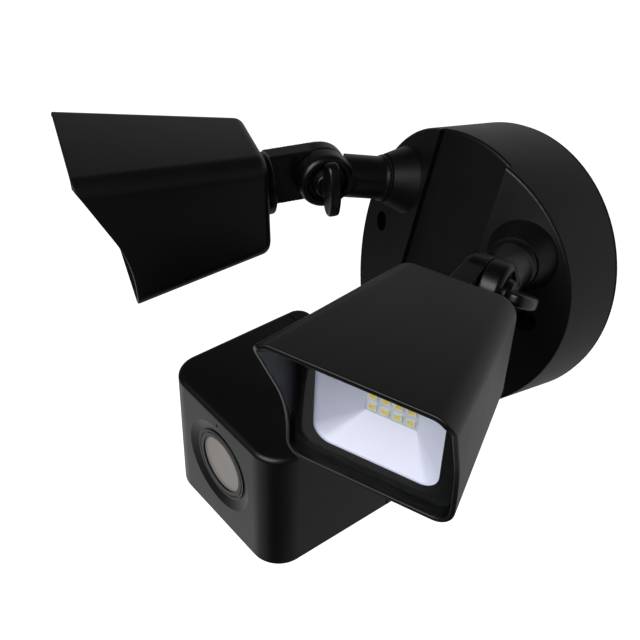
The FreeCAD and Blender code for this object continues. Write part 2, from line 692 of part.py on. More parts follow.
def knuckle_nut(sizes):
    """The nut in the far side of the bracket's tongue."""
    start = -sizes.thickness - KNUCKLE_NUT_PROUD
    nut = hexagon(sizes.nut_flats, (start, 0, 0), sizes.nut_height, X_AXIS)
    return nut.cut(rod(sizes.screw + THREAD_CLEARANCE, (start - OVERRUN, 0, 0), FAR, X_AXIS))


def bracket(sizes):
    """The -X knuckle half, its tongue and the round flange that carries the head."""
    inner = BODY_GAP / 2
    half = knuckle_half(sizes, -1)
    width = sizes.thickness - inner
    flange_back = sizes.flange_front - sizes.flange_thickness
    length = flange_back + BITE
    centre = (-inner - width / 2, -length / 2, 0)
    tongue = block((width, length, 2 * sizes.tongue), centre)
    flange = rod(sizes.flange, (0, -flange_back, 0), sizes.flange_thickness)

    def on_back_rim(edge):
        return abs(edge.BoundBox.YMin + flange_back) < TOUCH and abs(edge.BoundBox.YMax + flange_back) < TOUCH

    flange = fillet_where(flange, FLANGE_FILLET, on_back_rim)
    body = fuse_all([half, tongue, flange])
    pivot = rod(sizes.screw + RUNNING_CLEARANCE, (OVERRUN, 0, 0), FAR, -X_AXIS)
    pocket_x = -sizes.thickness - KNUCKLE_NUT_PROUD + sizes.nut_height
    pocket = hexagon(sizes.nut_flats + 2 * POCKET_GAP, (pocket_x, 0, 0), FAR, -X_AXIS)
    return cut_all(body, [pivot, pocket])


# ---------------------------------------------------------------- light head, in the tilted frame

def depth_y(depth):
    return -BACK_DISTANCE - depth


def housing_section(depth, inset):
    """The housing's cross-section at a depth, set in by a wall thickness."""
    half_width = HOUSING_WIDTH_BACK / 2 + SIDE_FLARE * depth - inset
    top = HOUSING_TOP_BACK + TOP_FLARE * depth - inset
    bottom = HOUSING_BOTTOM_BACK + BOTTOM_FLARE * depth - inset
    return rounded_wire(-half_width, half_width, -bottom, top, HOUSING_CORNER - inset, depth_y(depth))


def housing_loft(start, end, inset):
    return Part.makeLoft([housing_section(start, inset), housing_section(end, inset)], True, True)


def housing_slice(start, thickness, inset):
    """A flat plate that fills the housing's inside at a depth, less the inset."""
    face = Part.Face(housing_section(start, inset))
    return face.extrude(FORWARD * thickness)


def ledge_depth():
    stack = BEZEL_SETBACK + BEZEL_THICKNESS + GLASS_THICKNESS + REFLECTOR_FLANGE + LENS_GASKET_THICKNESS
    return LIP_DEPTH - stack


def board_face_depth():
    flange_back = ledge_depth() + LENS_GASKET_THICKNESS
    return flange_back - REFLECTOR_DEPTH - BOARD_GAP


def side_cut():
    """The space cut away in front of the lip and under the visor, along X."""
    angle = math.radians(SIDE_CUT_ANGLE)
    foot_z = -HOUSING_BOTTOM_BACK - BOTTOM_FLARE * LIP_DEPTH + SIDE_CUT_FOOT
    under_visor = HOUSING_TOP_BACK + TOP_FLARE * VISOR_LENGTH - HOUSING_WALL

    def at(turn):
        depth = LIP_DEPTH + SIDE_CUT_RADIUS * (1 - math.cos(turn))
        return Vector(-FAR, depth_y(depth), foot_z + SIDE_CUT_RADIUS * math.sin(turn))

    low = Vector(-FAR, depth_y(LIP_DEPTH), -FAR)
    foot = at(0)
    top = at(angle)
    tip = Vector(-FAR, depth_y(VISOR_LENGTH), under_visor)
    ahead = Vector(-FAR, depth_y(FAR), under_visor)
    ahead_low = Vector(-FAR, depth_y(FAR), -FAR)
    edges = [
        Part.LineSegment(low, foot).toShape(),
        Part.Arc(foot, at(angle / 2), top).toShape(),
        Part.LineSegment(top, tip).toShape(),
        Part.LineSegment(tip, ahead).toShape(),
        Part.LineSegment(ahead, ahead_low).toShape(),
        Part.LineSegment(ahead_low, low).toShape(),
    ]
    return Part.Face(Part.Wire(edges)).extrude(X_AXIS * 2 * FAR)


def housing():
    outer = housing_loft(0, VISOR_LENGTH, 0)
    back_y = depth_y(0)

    def on_back(edge):
        return abs(edge.BoundBox.YMin - back_y) < TOUCH and abs(edge.BoundBox.YMax - back_y) < TOUCH

    outer = fillet_where(outer, HOUSING_BACK_FILLET, on_back)
    boss = rod(REAR_BOSS_RADIUS, (0, back_y + REAR_BOSS_HEIGHT, 0), REAR_BOSS_HEIGHT + BITE)
    outer = fuse_all([outer, boss])
    ledge = ledge_depth()
    rear = housing_loft(HOUSING_BACK_WALL, ledge + BITE, HOUSING_WALL + LEDGE_WIDTH)
    front = housing_loft(ledge, VISOR_LENGTH + OVERRUN, HOUSING_WALL)
    shell = cut_all(outer, [fuse_all([rear, front]), side_cut()])
    sink_back = board_face_depth() - BOARD_THICKNESS - SINK_THICKNESS
    posts = []
    holes = []
    for x in (-STANDOFF_X, STANDOFF_X):
        for z in (-STANDOFF_Z, STANDOFF_Z):
            start = (x, depth_y(HOUSING_BACK_WALL - BITE), z)
            posts.append(rod(STANDOFF_RADIUS, start, sink_back - HOUSING_BACK_WALL + BITE))
            hole_start = (x, depth_y(sink_back - BOARD_SCREW_BITE), z)
            holes.append(rod(BOARD_SCREW_RADIUS + THREAD_CLEARANCE, hole_start, BOARD_SCREW_BITE + OVERRUN))
    for z in (-BRACKET_SCREW_OFFSET, BRACKET_SCREW_OFFSET):
        start = (0, back_y + REAR_BOSS_HEIGHT + OVERRUN, z)
        length = REAR_BOSS_HEIGHT + HOUSING_BACK_WALL + 2 * OVERRUN
        holes.append(rod(BRACKET_SCREW_RADIUS + THREAD_CLEARANCE, start, length))
    shell = fuse_all([shell] + posts)
    return cut_all(shell, holes)


def bracket_screws():
    screws = []
    for z in (-BRACKET_SCREW_OFFSET, BRACKET_SCREW_OFFSET):
        inner_y = depth_y(HOUSING_BACK_WALL)
        length = HOUSING_BACK_WALL + REAR_BOSS_HEIGHT + BRACKET_SCREW_BITE
        shank = rod(BRACKET_SCREW_RADIUS, (0, inner_y, z), length, Y_AXIS)
        head = rod(BRACKET_SCREW_HEAD_RADIUS, (0, inner_y, z), BRACKET_SCREW_HEAD_HEIGHT)
        screws.append(fuse_all([shank, head]))
    return group(screws)


def light_bracket(sizes):
    body = bracket(sizes)
    holes = []
    for z in (-BRACKET_SCREW_OFFSET, BRACKET_SCREW_OFFSET):
        start = (0, -sizes.flange_front - OVERRUN, z)
        holes.append(rod(BRACKET_SCREW_RADIUS + THREAD_CLEARANCE, start, BRACKET_SCREW_BITE + OVERRUN, Y_AXIS))
    return cut_all(body, holes)


def board_holes(depth, thickness):
    """Clearance holes for the four board screws through a plate at a depth."""
    holes = []
    for x in (-STANDOFF_X, STANDOFF_X):
        for z in (-STANDOFF_Z, STANDOFF_Z):
            start = (x, depth_y(depth - OVERRUN), z)
            holes.append(rod(BOARD_SCREW_RADIUS + BODY_GAP, start, thickness + 2 * OVERRUN))
    return holes


def heat_sink():
    front = board_face_depth() - BOARD_THICKNESS
    back = front - SINK_THICKNESS
    plate = rounded_plate(SINK_WIDTH, SINK_HEIGHT, SINK_CORNER, depth_y(front), SINK_THICKNESS)
    fins = []
    for number in range(FIN_COUNT):
        x = (number - (FIN_COUNT - 1) / 2) * FIN_PITCH
        centre = (x, depth_y(back - FIN_LENGTH / 2 + BITE / 2), 0)
        fins.append(block((FIN_THICKNESS, FIN_LENGTH + BITE, FIN_HEIGHT), centre))
    return cut_all(fuse_all([plate] + fins), board_holes(back, SINK_THICKNESS))


def led_board():
    front = board_face_depth()
    plate = rounded_plate(BOARD_WIDTH, BOARD_HEIGHT, BOARD_CORNER, depth_y(front), BOARD_THICKNESS)
    return cut_all(plate, board_holes(front - BOARD_THICKNESS, BOARD_THICKNESS))


def led_chips():
    chips = []
    width, thickness, height = LED_SIZE
    for column in range(LED_COLUMNS):
        for row in range(LED_ROWS):
            x = (column - (LED_COLUMNS - 1) / 2) * LED_PITCH
            z = (row - (LED_ROWS - 1) / 2) * LED_PITCH
            y = depth_y(board_face_depth()) - thickness / 2
            chips.append(block((width, thickness, height), (x, y, z)))
    return group(chips)


def board_screws():
    screws = []
    face = board_face_depth()
    length = BOARD_THICKNESS + SINK_THICKNESS + BOARD_SCREW_BITE - BOARD_SCREW_END_GAP
    for x in (-STANDOFF_X, STANDOFF_X):
        for z in (-STANDOFF_Z, STANDOFF_Z):
            shank = rod(BOARD_SCREW_RADIUS, (x, depth_y(face), z), length, Y_AXIS)
            head = rod(BOARD_SCREW_HEAD_RADIUS, (x, depth_y(face), z), BOARD_SCREW_HEAD_HEIGHT)
            screws.append(fuse_all([shank, head]))
    return group(screws)


def pyramid(base, width, height, base_corner, corner, start, end):
    """A four-sided funnel solid between two depths."""
    near = rounded_wire(-base / 2, base / 2, -base / 2, base / 2, base_corner, depth_y(start))
    far = rounded_wire(-width / 2, width / 2, -height / 2, height / 2, corner, depth_y(end))
    return Part.makeLoft([near, far], True, True)


def reflector():
    """A pyramid funnel from the LED board out to the window, with a flat rim."""
    rim_back = ledge_depth() + LENS_GASKET_THICKNESS
    start = rim_back - REFLECTOR_DEPTH
    rim = housing_slice(rim_back, REFLECTOR_FLANGE, HOUSING_WALL + BEZEL_GAP)
    wall = 2 * REFLECTOR_WALL
    outer = pyramid(
        REFLECTOR_BASE + wall, WINDOW_WIDTH + wall, WINDOW_HEIGHT + wall,
        REFLECTOR_BASE_CORNER + REFLECTOR_WALL, WINDOW_CORNER + REFLECTOR_WALL, start, rim_back,
    )
    inner = pyramid(
        REFLECTOR_BASE, WINDOW_WIDTH, WINDOW_HEIGHT,
        REFLECTOR_BASE_CORNER, WINDOW_CORNER, start, rim_back,
    )
    back_y = depth_y(start)
    mouth = rounded_plate(WINDOW_WIDTH, WINDOW_HEIGHT, WINDOW_CORNER, depth_y(rim_back + OVERRUN), OVERRUN)
    floor = rounded_plate(REFLECTOR_BASE, REFLECTOR_BASE, REFLECTOR_BASE_CORNER, back_y, OVERRUN)
    return cut_all(fuse_all([outer, rim]), [inner, mouth, floor])


def lens_gasket():
    outer = housing_slice(ledge_depth(), LENS_GASKET_THICKNESS, HOUSING_WALL + BEZEL_GAP)
    inner = housing_slice(ledge_depth() - OVERRUN, LENS_GASKET_THICKNESS + 2 * OVERRUN, HOUSING_WALL + LEDGE_WIDTH)
    return outer.cut(inner)


def glass():
    start = ledge_depth() + LENS_GASKET_THICKNESS + REFLECTOR_FLANGE
    return housing_slice(start, GLASS_THICKNESS, HOUSING_WALL + BEZEL_GAP)


def bezel():
    start = ledge_depth() + LENS_GASKET_THICKNESS + REFLECTOR_FLANGE + GLASS_THICKNESS
    outer = housing_slice(start, BEZEL_THICKNESS, HOUSING_WALL + BEZEL_GAP)
    front_y = depth_y(start + BEZEL_THICKNESS + OVERRUN)
    window = rounded_plate(WINDOW_WIDTH, WINDOW_HEIGHT, WINDOW_CORNER, front_y, BEZEL_THICKNESS + 2 * OVERRUN)
    return outer.cut(window)


# ---------------------------------------------------------------- camera, in its tilted frame

FRONT_Y = -CAMERA_BACK_DISTANCE - CAMERA_DEPTH
BACK_Y = -CAMERA_BACK_DISTANCE
LENS_Z = LENS_CENTRE_Z - CAMERA_DROP
COVER_FRONT_Y = BACK_Y - COVER_DEPTH


def plan_outline(inset, front_y, back_y, front_corner, back_corner):
    """The body's outline seen from above, set in by a wall."""
    half = CAMERA_WIDTH / 2 - inset
    edges = []

    def corner(x, y, radius, start_angle):
        points = []
        for turn in (0, 45, 90):
            angle = math.radians(start_angle + turn)
            points.append(Vector(x + radius * math.cos(angle), y + radius * math.sin(angle), 0))
        return points

    rounds = [
        corner(half - front_corner, front_y + front_corner, front_corner, -90),
        corner(half - back_corner, back_y - back_corner, back_corner, 0),
        corner(-half + back_corner, back_y - back_corner, back_corner, 90),
        corner(-half + front_corner, front_y + front_corner, front_corner, 180),
    ]
    for number, points in enumerate(rounds):
        following = rounds[(number + 1) % 4]
        edges.append(Part.Arc(points[0], points[1], points[2]).toShape())
        edges.append(Part.LineSegment(points[2], following[0]).toShape())
    return Part.Wire(edges)


def plan_solid(inset, front_y, back_y, front_corner, back_corner, height):
    wire = plan_outline(inset, front_y, back_y, front_corner, back_corner)
    solid = Part.Face(wire).extrude(Z_AXIS * height)
    solid.translate(Vector(0, 0, -CAMERA_DROP - height / 2))
    return solid


def camera_outer():
    """The whole outside of the camera body, shell and rear cover together."""
    body = plan_solid(0, FRONT_Y, BACK_Y, CAMERA_FRONT_CORNER, CAMERA_BACK_CORNER, CAMERA_HEIGHT)

    def on_top_or_bottom(edge):
        return edge.BoundBox.ZLength < TOUCH

    return fillet_where(body, CAMERA_EDGE_FILLET, on_top_or_bottom)


def camera_inner(front_y, back_y):
    """The room inside the shell walls."""
    front_corner = CAMERA_FRONT_CORNER - CAMERA_WALL
    height = CAMERA_HEIGHT - 2 * CAMERA_WALL
    return plan_solid(CAMERA_WALL, front_y, back_y, front_corner, SHARP_CORNER, height)


def cover_posts(radius, start_y, length):
    posts = []
    for x in (-COVER_SCREW_X, COVER_SCREW_X):
        for side in (-1, 1):
            z = -CAMERA_DROP + side * COVER_SCREW_Z
            posts.append(rod(radius, (x, start_y, z), length))
    return posts


def main_board_y():
    return sensor_board_y() + MAIN_BOARD_SPACING


def sensor_board_y():
    """Back face of the lens holder, where the sensor board's front lies."""
    window_back = FRONT_Y + DISH_DEPTH + WINDOW_THICKNESS
    return window_back + BARREL_FRONT_GAP + BARREL_LENGTH + HOLDER_SIZE[1] / 2


def camera_shell():
    outer = camera_outer()
    cavity = camera_inner(FRONT_Y + CAMERA_FRONT_WALL, 0)
    behind = block((FAR, FAR, FAR), (0, COVER_FRONT_Y - COVER_GASKET_THICKNESS + FAR / 2, 0))
    shell = cut_all(outer, [cavity, behind])
    inside_front = FRONT_Y + CAMERA_FRONT_WALL
    added = []
    post_start = COVER_FRONT_Y - COVER_GASKET_THICKNESS
    holes = []
    for post in cover_posts(COVER_POST_RADIUS, post_start, COVER_POST_LENGTH):
        added.append(post.common(outer))
    bite = COVER_SCREW_BITE + OVERRUN
    holes += cover_posts(COVER_SCREW_RADIUS + THREAD_CLEARANCE, post_start + OVERRUN, bite)
    for x in (-BOARD_POST_X, BOARD_POST_X):
        for side in (-1, 1):
            z = LENS_Z + side * BOARD_POST_Z
            length = sensor_board_y() - inside_front
            added.append(rod(BOARD_POST_RADIUS, (x, inside_front - BITE, z), length + BITE, Y_AXIS))
    for x in (-MAIN_POST_X, MAIN_POST_X):
        for side in (-1, 1):
            z = -CAMERA_DROP + side * MAIN_POST_Z
            length = main_board_y() - inside_front
            added.append(rod(BOARD_POST_RADIUS, (x, inside_front - BITE, z), length + BITE, Y_AXIS))
    dish = taper(DISH_FOOT_RADIUS, DISH_RADIUS, (0, FRONT_Y + DISH_DEPTH, LENS_Z), DISH_DEPTH)
    bore = rod(RING_RADIUS + POCKET_GAP, (0, FRONT_Y + CAMERA_FRONT_WALL + OVERRUN, LENS_Z), FAR)
    mic_z = LENS_Z + MIC_HOLE_HEIGHT
    mic = rod(MIC_HOLE_RADIUS, (0, FRONT_Y + CAMERA_FRONT_WALL + OVERRUN, mic_z), FAR)
    shell = fuse_all([shell] + added)
    return cut_all(shell, holes + [dish, bore, mic])


def lens_ring():
    """The ring in the dish that holds the window from the front."""
    front = FRONT_Y + DISH_DEPTH - RING_PROUD
    back = FRONT_Y + CAMERA_FRONT_WALL
    ring = rod(RING_RADIUS, (0, back, LENS_Z), back - front)
    behind = back + OVERRUN
    bore = rod(RING_INNER_RADIUS, (0, behind, LENS_Z), FAR)
    seat = rod(WINDOW_RADIUS + POCKET_GAP, (0, behind, LENS_Z), behind - front - WINDOW_RECESS)
    groove_out = rod(RING_GROOVE_RADIUS + RING_GROOVE_WIDTH / 2, (0, front + RING_GROOVE_DEPTH, LENS_Z), FAR)
    groove_in = rod(RING_GROOVE_RADIUS - RING_GROOVE_WIDTH / 2, (0, behind, LENS_Z), 2 * FAR)
    return cut_all(ring, [bore, seat, groove_out.cut(groove_in)])


def lens_window():
    front = FRONT_Y + DISH_DEPTH - RING_PROUD + WINDOW_RECESS
    return rod(WINDOW_RADIUS, (0, front + WINDOW_THICKNESS, LENS_Z), WINDOW_THICKNESS)


def barrel_front():
    return FRONT_Y + DISH_DEPTH + WINDOW_THICKNESS + BARREL_FRONT_GAP


def lens_barrel():
    front = barrel_front()
    body = rod(BARREL_RADIUS, (0, front + BARREL_LENGTH, LENS_Z), BARREL_LENGTH)
    seat = rod(FRONT_ELEMENT_RADIUS, (0, front + FRONT_ELEMENT_THICKNESS, LENS_Z), FAR)
    return body.cut(seat)


def lens_element():
    front = barrel_front()
    start = (0, front + FRONT_ELEMENT_THICKNESS, LENS_Z)
    return rod(FRONT_ELEMENT_RADIUS, start, FRONT_ELEMENT_THICKNESS)


def lens_holder():
    width, depth, height = HOLDER_SIZE
    holder = block(HOLDER_SIZE, (0, sensor_board_y() - depth / 2, LENS_Z))
    return holder.cut(rod(BARREL_RADIUS, (0, barrel_front() + BARREL_LENGTH, LENS_Z), FAR))


def sensor_board():
    depth = SENSOR_BOARD_SIZE[1]
    board = block(SENSOR_BOARD_SIZE, (0, sensor_board_y() + depth / 2, LENS_Z))
    chip = block(CHIP_SIZE, (0, sensor_board_y() + depth + CHIP_SIZE[1] / 2, LENS_Z))
    return fuse_all([board, chip])


def main_board():
    depth = MAIN_BOARD_SIZE[1]
    y = main_board_y()
    board = block(MAIN_BOARD_SIZE, (0, y + depth / 2, -CAMERA_DROP))
    chips = [board]
    for x in (-CHIP_SIZE[0], CHIP_SIZE[0]):
        chips.append(block(CHIP_SIZE, (x, y + depth + CHIP_SIZE[1] / 2, -CAMERA_DROP)))
    return fuse_all(chips)


def antenna():
    depth = ANTENNA_SIZE[1]
    z = -CAMERA_DROP + MAIN_BOARD_SIZE[2] / 2 - ANTENNA_SIZE[2]
    return block(ANTENNA_SIZE, (0, main_board_y() + MAIN_BOARD_SIZE[1] + depth / 2, z))


def microphone():
    z = LENS_Z + MIC_HOLE_HEIGHT
    return rod(MIC_RADIUS, (0, FRONT_Y + CAMERA_FRONT_WALL + MIC_LENGTH, z), MIC_LENGTH)


def cover_gasket():
    """A flat seal between the shell and the rear cover."""
    y = COVER_FRONT_Y - COVER_GASKET_THICKNESS
    slab = block((FAR, COVER_GASKET_THICKNESS, FAR), (0, y + COVER_GASKET_THICKNESS / 2, 0))
    height = CAMERA_HEIGHT - 2 * COVER_GASKET_INSET
    outer = plan_solid(COVER_GASKET_INSET, FRONT_Y, 0, SHARP_CORNER, SHARP_CORNER, height)
    inner = camera_inner(FRONT_Y, 0)
    return outer.cut(inner).common(slab)


def rear_cover():
    outer = camera_outer()
    ahead = block((FAR, FAR, FAR), (0, COVER_FRONT_Y - FAR / 2, 0))
    cover = outer.cut(ahead)
    hollow_height = CAMERA_HEIGHT - 2 * CAMERA_WALL
    back_corner = CAMERA_BACK_CORNER - CAMERA_WALL
    hollow = plan_solid(CAMERA_WALL, FRONT_Y, BACK_Y - COVER_WALL, SHARP_CORNER, back_corner, hollow_height)
    cover = cover.cut(hollow)
    gap = COVER_SPIGOT_GAP
    spigot_front = COVER_FRONT_Y - COVER_SPIGOT_LENGTH
    spigot_back = COVER_FRONT_Y + OVERRUN
    inset = CAMERA_WALL + gap
    height = CAMERA_HEIGHT - 2 * inset
    spigot = plan_solid(inset, spigot_front, spigot_back, SHARP_CORNER, SHARP_CORNER, height)
    inset += COVER_SPIGOT_WALL
    height = CAMERA_HEIGHT - 2 * inset
    bore = plan_solid(inset, spigot_front - OVERRUN, spigot_back + OVERRUN, SHARP_CORNER, SHARP_CORNER, height)
    spigot = spigot.cut(bore)
    notches = cover_posts(COVER_POST_RADIUS + gap, COVER_FRONT_Y, 2 * COVER_SPIGOT_LENGTH)
    spigot = cut_all(spigot, notches)
    pad_start = (0, BACK_Y + CAMERA_FLANGE_PAD, 0)
    pad = rod(CAMERA_FLANGE_RADIUS, pad_start, CAMERA_FLANGE_PAD + BITE)
    posts = cover_posts(COVER_POST_RADIUS, BACK_Y - BITE, COVER_DEPTH - BITE)
    clipped = [post.common(outer) for post in posts]
    cover = fuse_all([cover, spigot, pad] + clipped)
    holes = cover_posts(COVER_SCREW_RADIUS + BODY_GAP, BACK_Y + OVERRUN, 2 * COVER_DEPTH)
    head_bore = COVER_SCREW_HEAD_RADIUS + BODY_GAP
    holes += cover_posts(head_bore, BACK_Y + OVERRUN, OVERRUN + COVER_SCREW_HEAD_HEIGHT + COVER_SCREW_SINK)
    for side in (-1, 1):
        start = (side * CAMERA_BRACKET_SCREW_OFFSET, BACK_Y + CAMERA_FLANGE_PAD + OVERRUN, 0)
        length = CAMERA_FLANGE_PAD + COVER_WALL + 2 * OVERRUN
        holes.append(rod(COVER_SCREW_RADIUS + THREAD_CLEARANCE, start, length))
    return cut_all(cover, holes)


def cover_screws():
    screws = []
    seat = BACK_Y - COVER_SCREW_HEAD_HEIGHT - COVER_SCREW_SINK
    length = seat - COVER_FRONT_Y + COVER_GASKET_THICKNESS + COVER_SCREW_BITE - OVERRUN
    for shank in cover_posts(COVER_SCREW_RADIUS, seat, length):
        centre = shank.BoundBox.Center
        head_start = (centre.x, seat + COVER_SCREW_HEAD_HEIGHT, centre.z)
        head = rod(COVER_SCREW_HEAD_RADIUS, head_start, COVER_SCREW_HEAD_HEIGHT)
        slot_size = (CROSS_WIDTH, 2 * COVER_SCREW_SLOT_DEPTH, 3 * COVER_SCREW_HEAD_RADIUS)
        slot = block(slot_size, (centre.x, seat + COVER_SCREW_HEAD_HEIGHT, centre.z))
        screws.append(fuse_all([shank, head]).cut(slot))
    return group(screws)


def camera_bracket(sizes):
    body = bracket(sizes)
    holes = []
    for side in (-1, 1):
        start = (side * CAMERA_BRACKET_SCREW_OFFSET, -sizes.flange_front - OVERRUN, 0)
        length = CAMERA_BRACKET_SCREW_BITE + BODY_GAP + OVERRUN
        holes.append(rod(COVER_SCREW_RADIUS + THREAD_CLEARANCE, start, length, Y_AXIS))
    return cut_all(body, holes)


def camera_bracket_screws(sizes):
    screws = []
    inner_y = BACK_Y - COVER_WALL
    length = COVER_WALL + CAMERA_FLANGE_PAD + CAMERA_BRACKET_SCREW_BITE
    for side in (-1, 1):
        shank = rod(COVER_SCREW_RADIUS, (side * CAMERA_BRACKET_SCREW_OFFSET, inner_y, 0), length, Y_AXIS)
        head = rod(COVER_SCREW_HEAD_RADIUS, (side * CAMERA_BRACKET_SCREW_OFFSET, inner_y, 0), COVER_SCREW_HEAD_HEIGHT)
        screws.append(fuse_all([shank, head]))
    return group(screws)


# ---------------------------------------------------------------- the whole object

def build_base():
    save("base_canopy", canopy())
    save("wall_gasket", wall_gasket())
    save("mounting_plate", mounting_plate())
    save("canopy_screws", canopy_screws())
    save("ground_screw", ground_screw())
    save("led_driver", led_driver())
    save("terminal_block", terminal_block())


def build_arm(name, side, swivel, wing_turn):
    sizes = ArmSizes(side == 0)
    frame = swivelled(side, swivel)
    save(name + "_arm", placed(arm_casting(sizes), frame))
    save(name + "_arm_seal", placed(arm_seal(sizes), frame))
    save(name + "_arm_nut", placed(lock_nut(sizes), frame))
    wing = wing_screw(sizes)
    wing.rotate(Vector(), X_AXIS, wing_turn)
    save(name + "_wing_screw", placed(wing, knuckle(side, swivel, sizes.length)))


def build_light(name, side, swivel, tilt, wing_turn):
    build_arm(name, side, swivel, wing_turn)
    sizes = ArmSizes(False)
    frame = tilted(side, swivel, sizes.length, tilt)
    pieces = {
        "bracket": light_bracket(sizes),
        "knuckle_nut": knuckle_nut(sizes),
        "bracket_screws": bracket_screws(),
        "housing": housing(),
        "heat_sink": heat_sink(),
        "led_board": led_board(),
        "led_chips": led_chips(),
        "board_screws": board_screws(),
        "reflector": reflector(),
        "lens_gasket": lens_gasket(),
        "glass": glass(),
        "bezel": bezel(),
    }
    for piece, shape in pieces.items():
        save(name + "_" + piece, placed(shape, frame))


def build_camera():
    build_arm("camera", 0, CAMERA_SWIVEL, CAMERA_WING_TURN)
    sizes = ArmSizes(True)
    frame = tilted(0, CAMERA_SWIVEL, sizes.length, CAMERA_TILT)
    pieces = {
        "bracket": camera_bracket(sizes),
        "knuckle_nut": knuckle_nut(sizes),
        "bracket_screws": camera_bracket_screws(sizes),
        "shell": camera_shell(),
        "rear_cover": rear_cover(),
        "cover_gasket": cover_gasket(),
        "cover_screws": cover_screws(),
        "lens_ring": lens_ring(),
        "window": lens_window(),
        "lens_barrel": lens_barrel(),
        "lens_element": lens_element(),
        "lens_holder": lens_holder(),
        "sensor_board": sensor_board(),
        "main_board": main_board(),
        "antenna": antenna(),
        "microphone": microphone(),
    }
    for piece, shape in pieces.items():
        save("camera_" + piece, placed(shape, frame))


os.makedirs("parts", exist_ok=True)
build_base()
build_light("left", -1, LEFT_SWIVEL, LEFT_TILT, LEFT_WING_TURN)
build_light("right", 1, RIGHT_SWIVEL, RIGHT_TILT, RIGHT_WING_TURN)
build_camera()
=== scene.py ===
# %% [markdown]
# # A security camera with two floodlights
#
# The real object is three moulded heads on a round wall base. The CAD model already holds every
# part at its true size and place, so this lesson only adds what the eye judges: rounded lips,
# small hardware, and finishes that answer to light as moulded plastic, painted white and glass do.
# Everything is in metres, in the CAD model's own frame: the wall is the plane y = 0, the heads
# look along -Y, and +Z is up.

import json
import math

import bmesh
import bpy
from mathutils import Matrix, Vector


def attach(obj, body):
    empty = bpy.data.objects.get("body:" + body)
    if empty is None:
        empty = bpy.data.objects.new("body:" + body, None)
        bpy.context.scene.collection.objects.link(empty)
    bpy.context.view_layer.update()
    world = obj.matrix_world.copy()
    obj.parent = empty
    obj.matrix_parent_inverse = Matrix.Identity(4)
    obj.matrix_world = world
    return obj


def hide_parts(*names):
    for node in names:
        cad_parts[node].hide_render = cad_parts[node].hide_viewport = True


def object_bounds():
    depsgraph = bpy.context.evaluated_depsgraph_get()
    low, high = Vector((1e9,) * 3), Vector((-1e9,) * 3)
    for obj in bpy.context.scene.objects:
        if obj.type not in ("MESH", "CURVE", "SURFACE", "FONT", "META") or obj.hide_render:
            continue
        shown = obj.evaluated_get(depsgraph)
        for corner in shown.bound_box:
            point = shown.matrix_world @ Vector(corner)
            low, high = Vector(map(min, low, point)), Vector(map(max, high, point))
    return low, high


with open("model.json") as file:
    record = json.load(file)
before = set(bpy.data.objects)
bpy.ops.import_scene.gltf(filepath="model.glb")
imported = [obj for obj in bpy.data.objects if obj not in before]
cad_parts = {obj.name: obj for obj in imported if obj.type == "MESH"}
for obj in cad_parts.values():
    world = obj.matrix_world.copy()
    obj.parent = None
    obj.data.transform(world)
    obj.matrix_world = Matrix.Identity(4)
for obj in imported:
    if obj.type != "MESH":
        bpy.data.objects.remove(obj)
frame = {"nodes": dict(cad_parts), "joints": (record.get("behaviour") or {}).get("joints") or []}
cad_low, cad_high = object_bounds()
MM = 0.001
print("CAD box in mm:", [round(c / MM, 1) for c in (*cad_low, *cad_high)])

# %% [markdown]
# ## The viewpoint
#
# The view looks down on the object from its front right, close enough for strong perspective. A
# camera could be aimed with a constraint, but three turns in a row say the same thing more
# plainly: round the object, up from the horizon, and a roll about its own line of sight.

# %% Camera
VIEW_AZIMUTH = 43.36            # degrees, 0 looks along +Y
VIEW_ELEVATION = 29.84
VIEW_ROLL = 14.5
VIEW_DISTANCE = 0.568
VIEW_TARGET = Vector((-0.0715, -0.0400, -0.0724))
LENS_MM = 59.02
NEAREST, FARTHEST = 0.02, 30    # metres from the eye that are still drawn


def view_camera():
    turn = Matrix.Rotation(math.radians(VIEW_AZIMUTH), 4, "Z")
    turn @= Matrix.Rotation(math.radians(90 - VIEW_ELEVATION), 4, "X")
    turn @= Matrix.Rotation(math.radians(VIEW_ROLL), 4, "Z")
    eye = bpy.data.objects.new("view_camera", bpy.data.cameras.new("view_camera"))
    bpy.context.scene.collection.objects.link(eye)
    step_back = Matrix.Translation((0, 0, VIEW_DISTANCE))
    eye.matrix_world = Matrix.Translation(VIEW_TARGET) @ turn @ step_back
    eye.data.lens = LENS_MM
    eye.data.clip_start = NEAREST
    eye.data.clip_end = FARTHEST
    bpy.context.scene.camera = eye
    return eye


eye = view_camera()
print("camera at", [round(c / MM, 1) for c in eye.matrix_world.translation])

# %% [markdown]
# ## Sky and soft boxes
#
# Black plastic shows its shape only by what it mirrors. In a white studio the walls behind the
# object shine in its tops and far sides, and the dark half of the room, where the viewer stands,
# keeps its fronts black. A sky that brightens towards the back and dims overhead does the same
# without modelling a room. One soft box in front and above lights the white reflectors. Two weak
# ones stand low, on the left for the camera's face and in front for the undersides.

# %% Sky and soft boxes
FRONT_EDGE = -0.2               # how far to the back the sky starts to brighten
FRONT_GLOW = 0.02
BACK_GLOW = 0.44
WALL_TOP = 0.50                 # heights are sines of the angle above the horizon
CEILING = 0.78
CEILING_SHARE = 0.15            # the ceiling's glow, of the walls'


def srgb(code):
    """A linear colour from an sRGB hex code."""
    shares = [int(code[place:place + 2], 16) / 255 for place in (1, 3, 5)]
    linear = [s / 12.92 if s <= 0.04045 else ((s + 0.055) / 1.055) ** 2.4 for s in shares]
    return (*linear, 1.0)


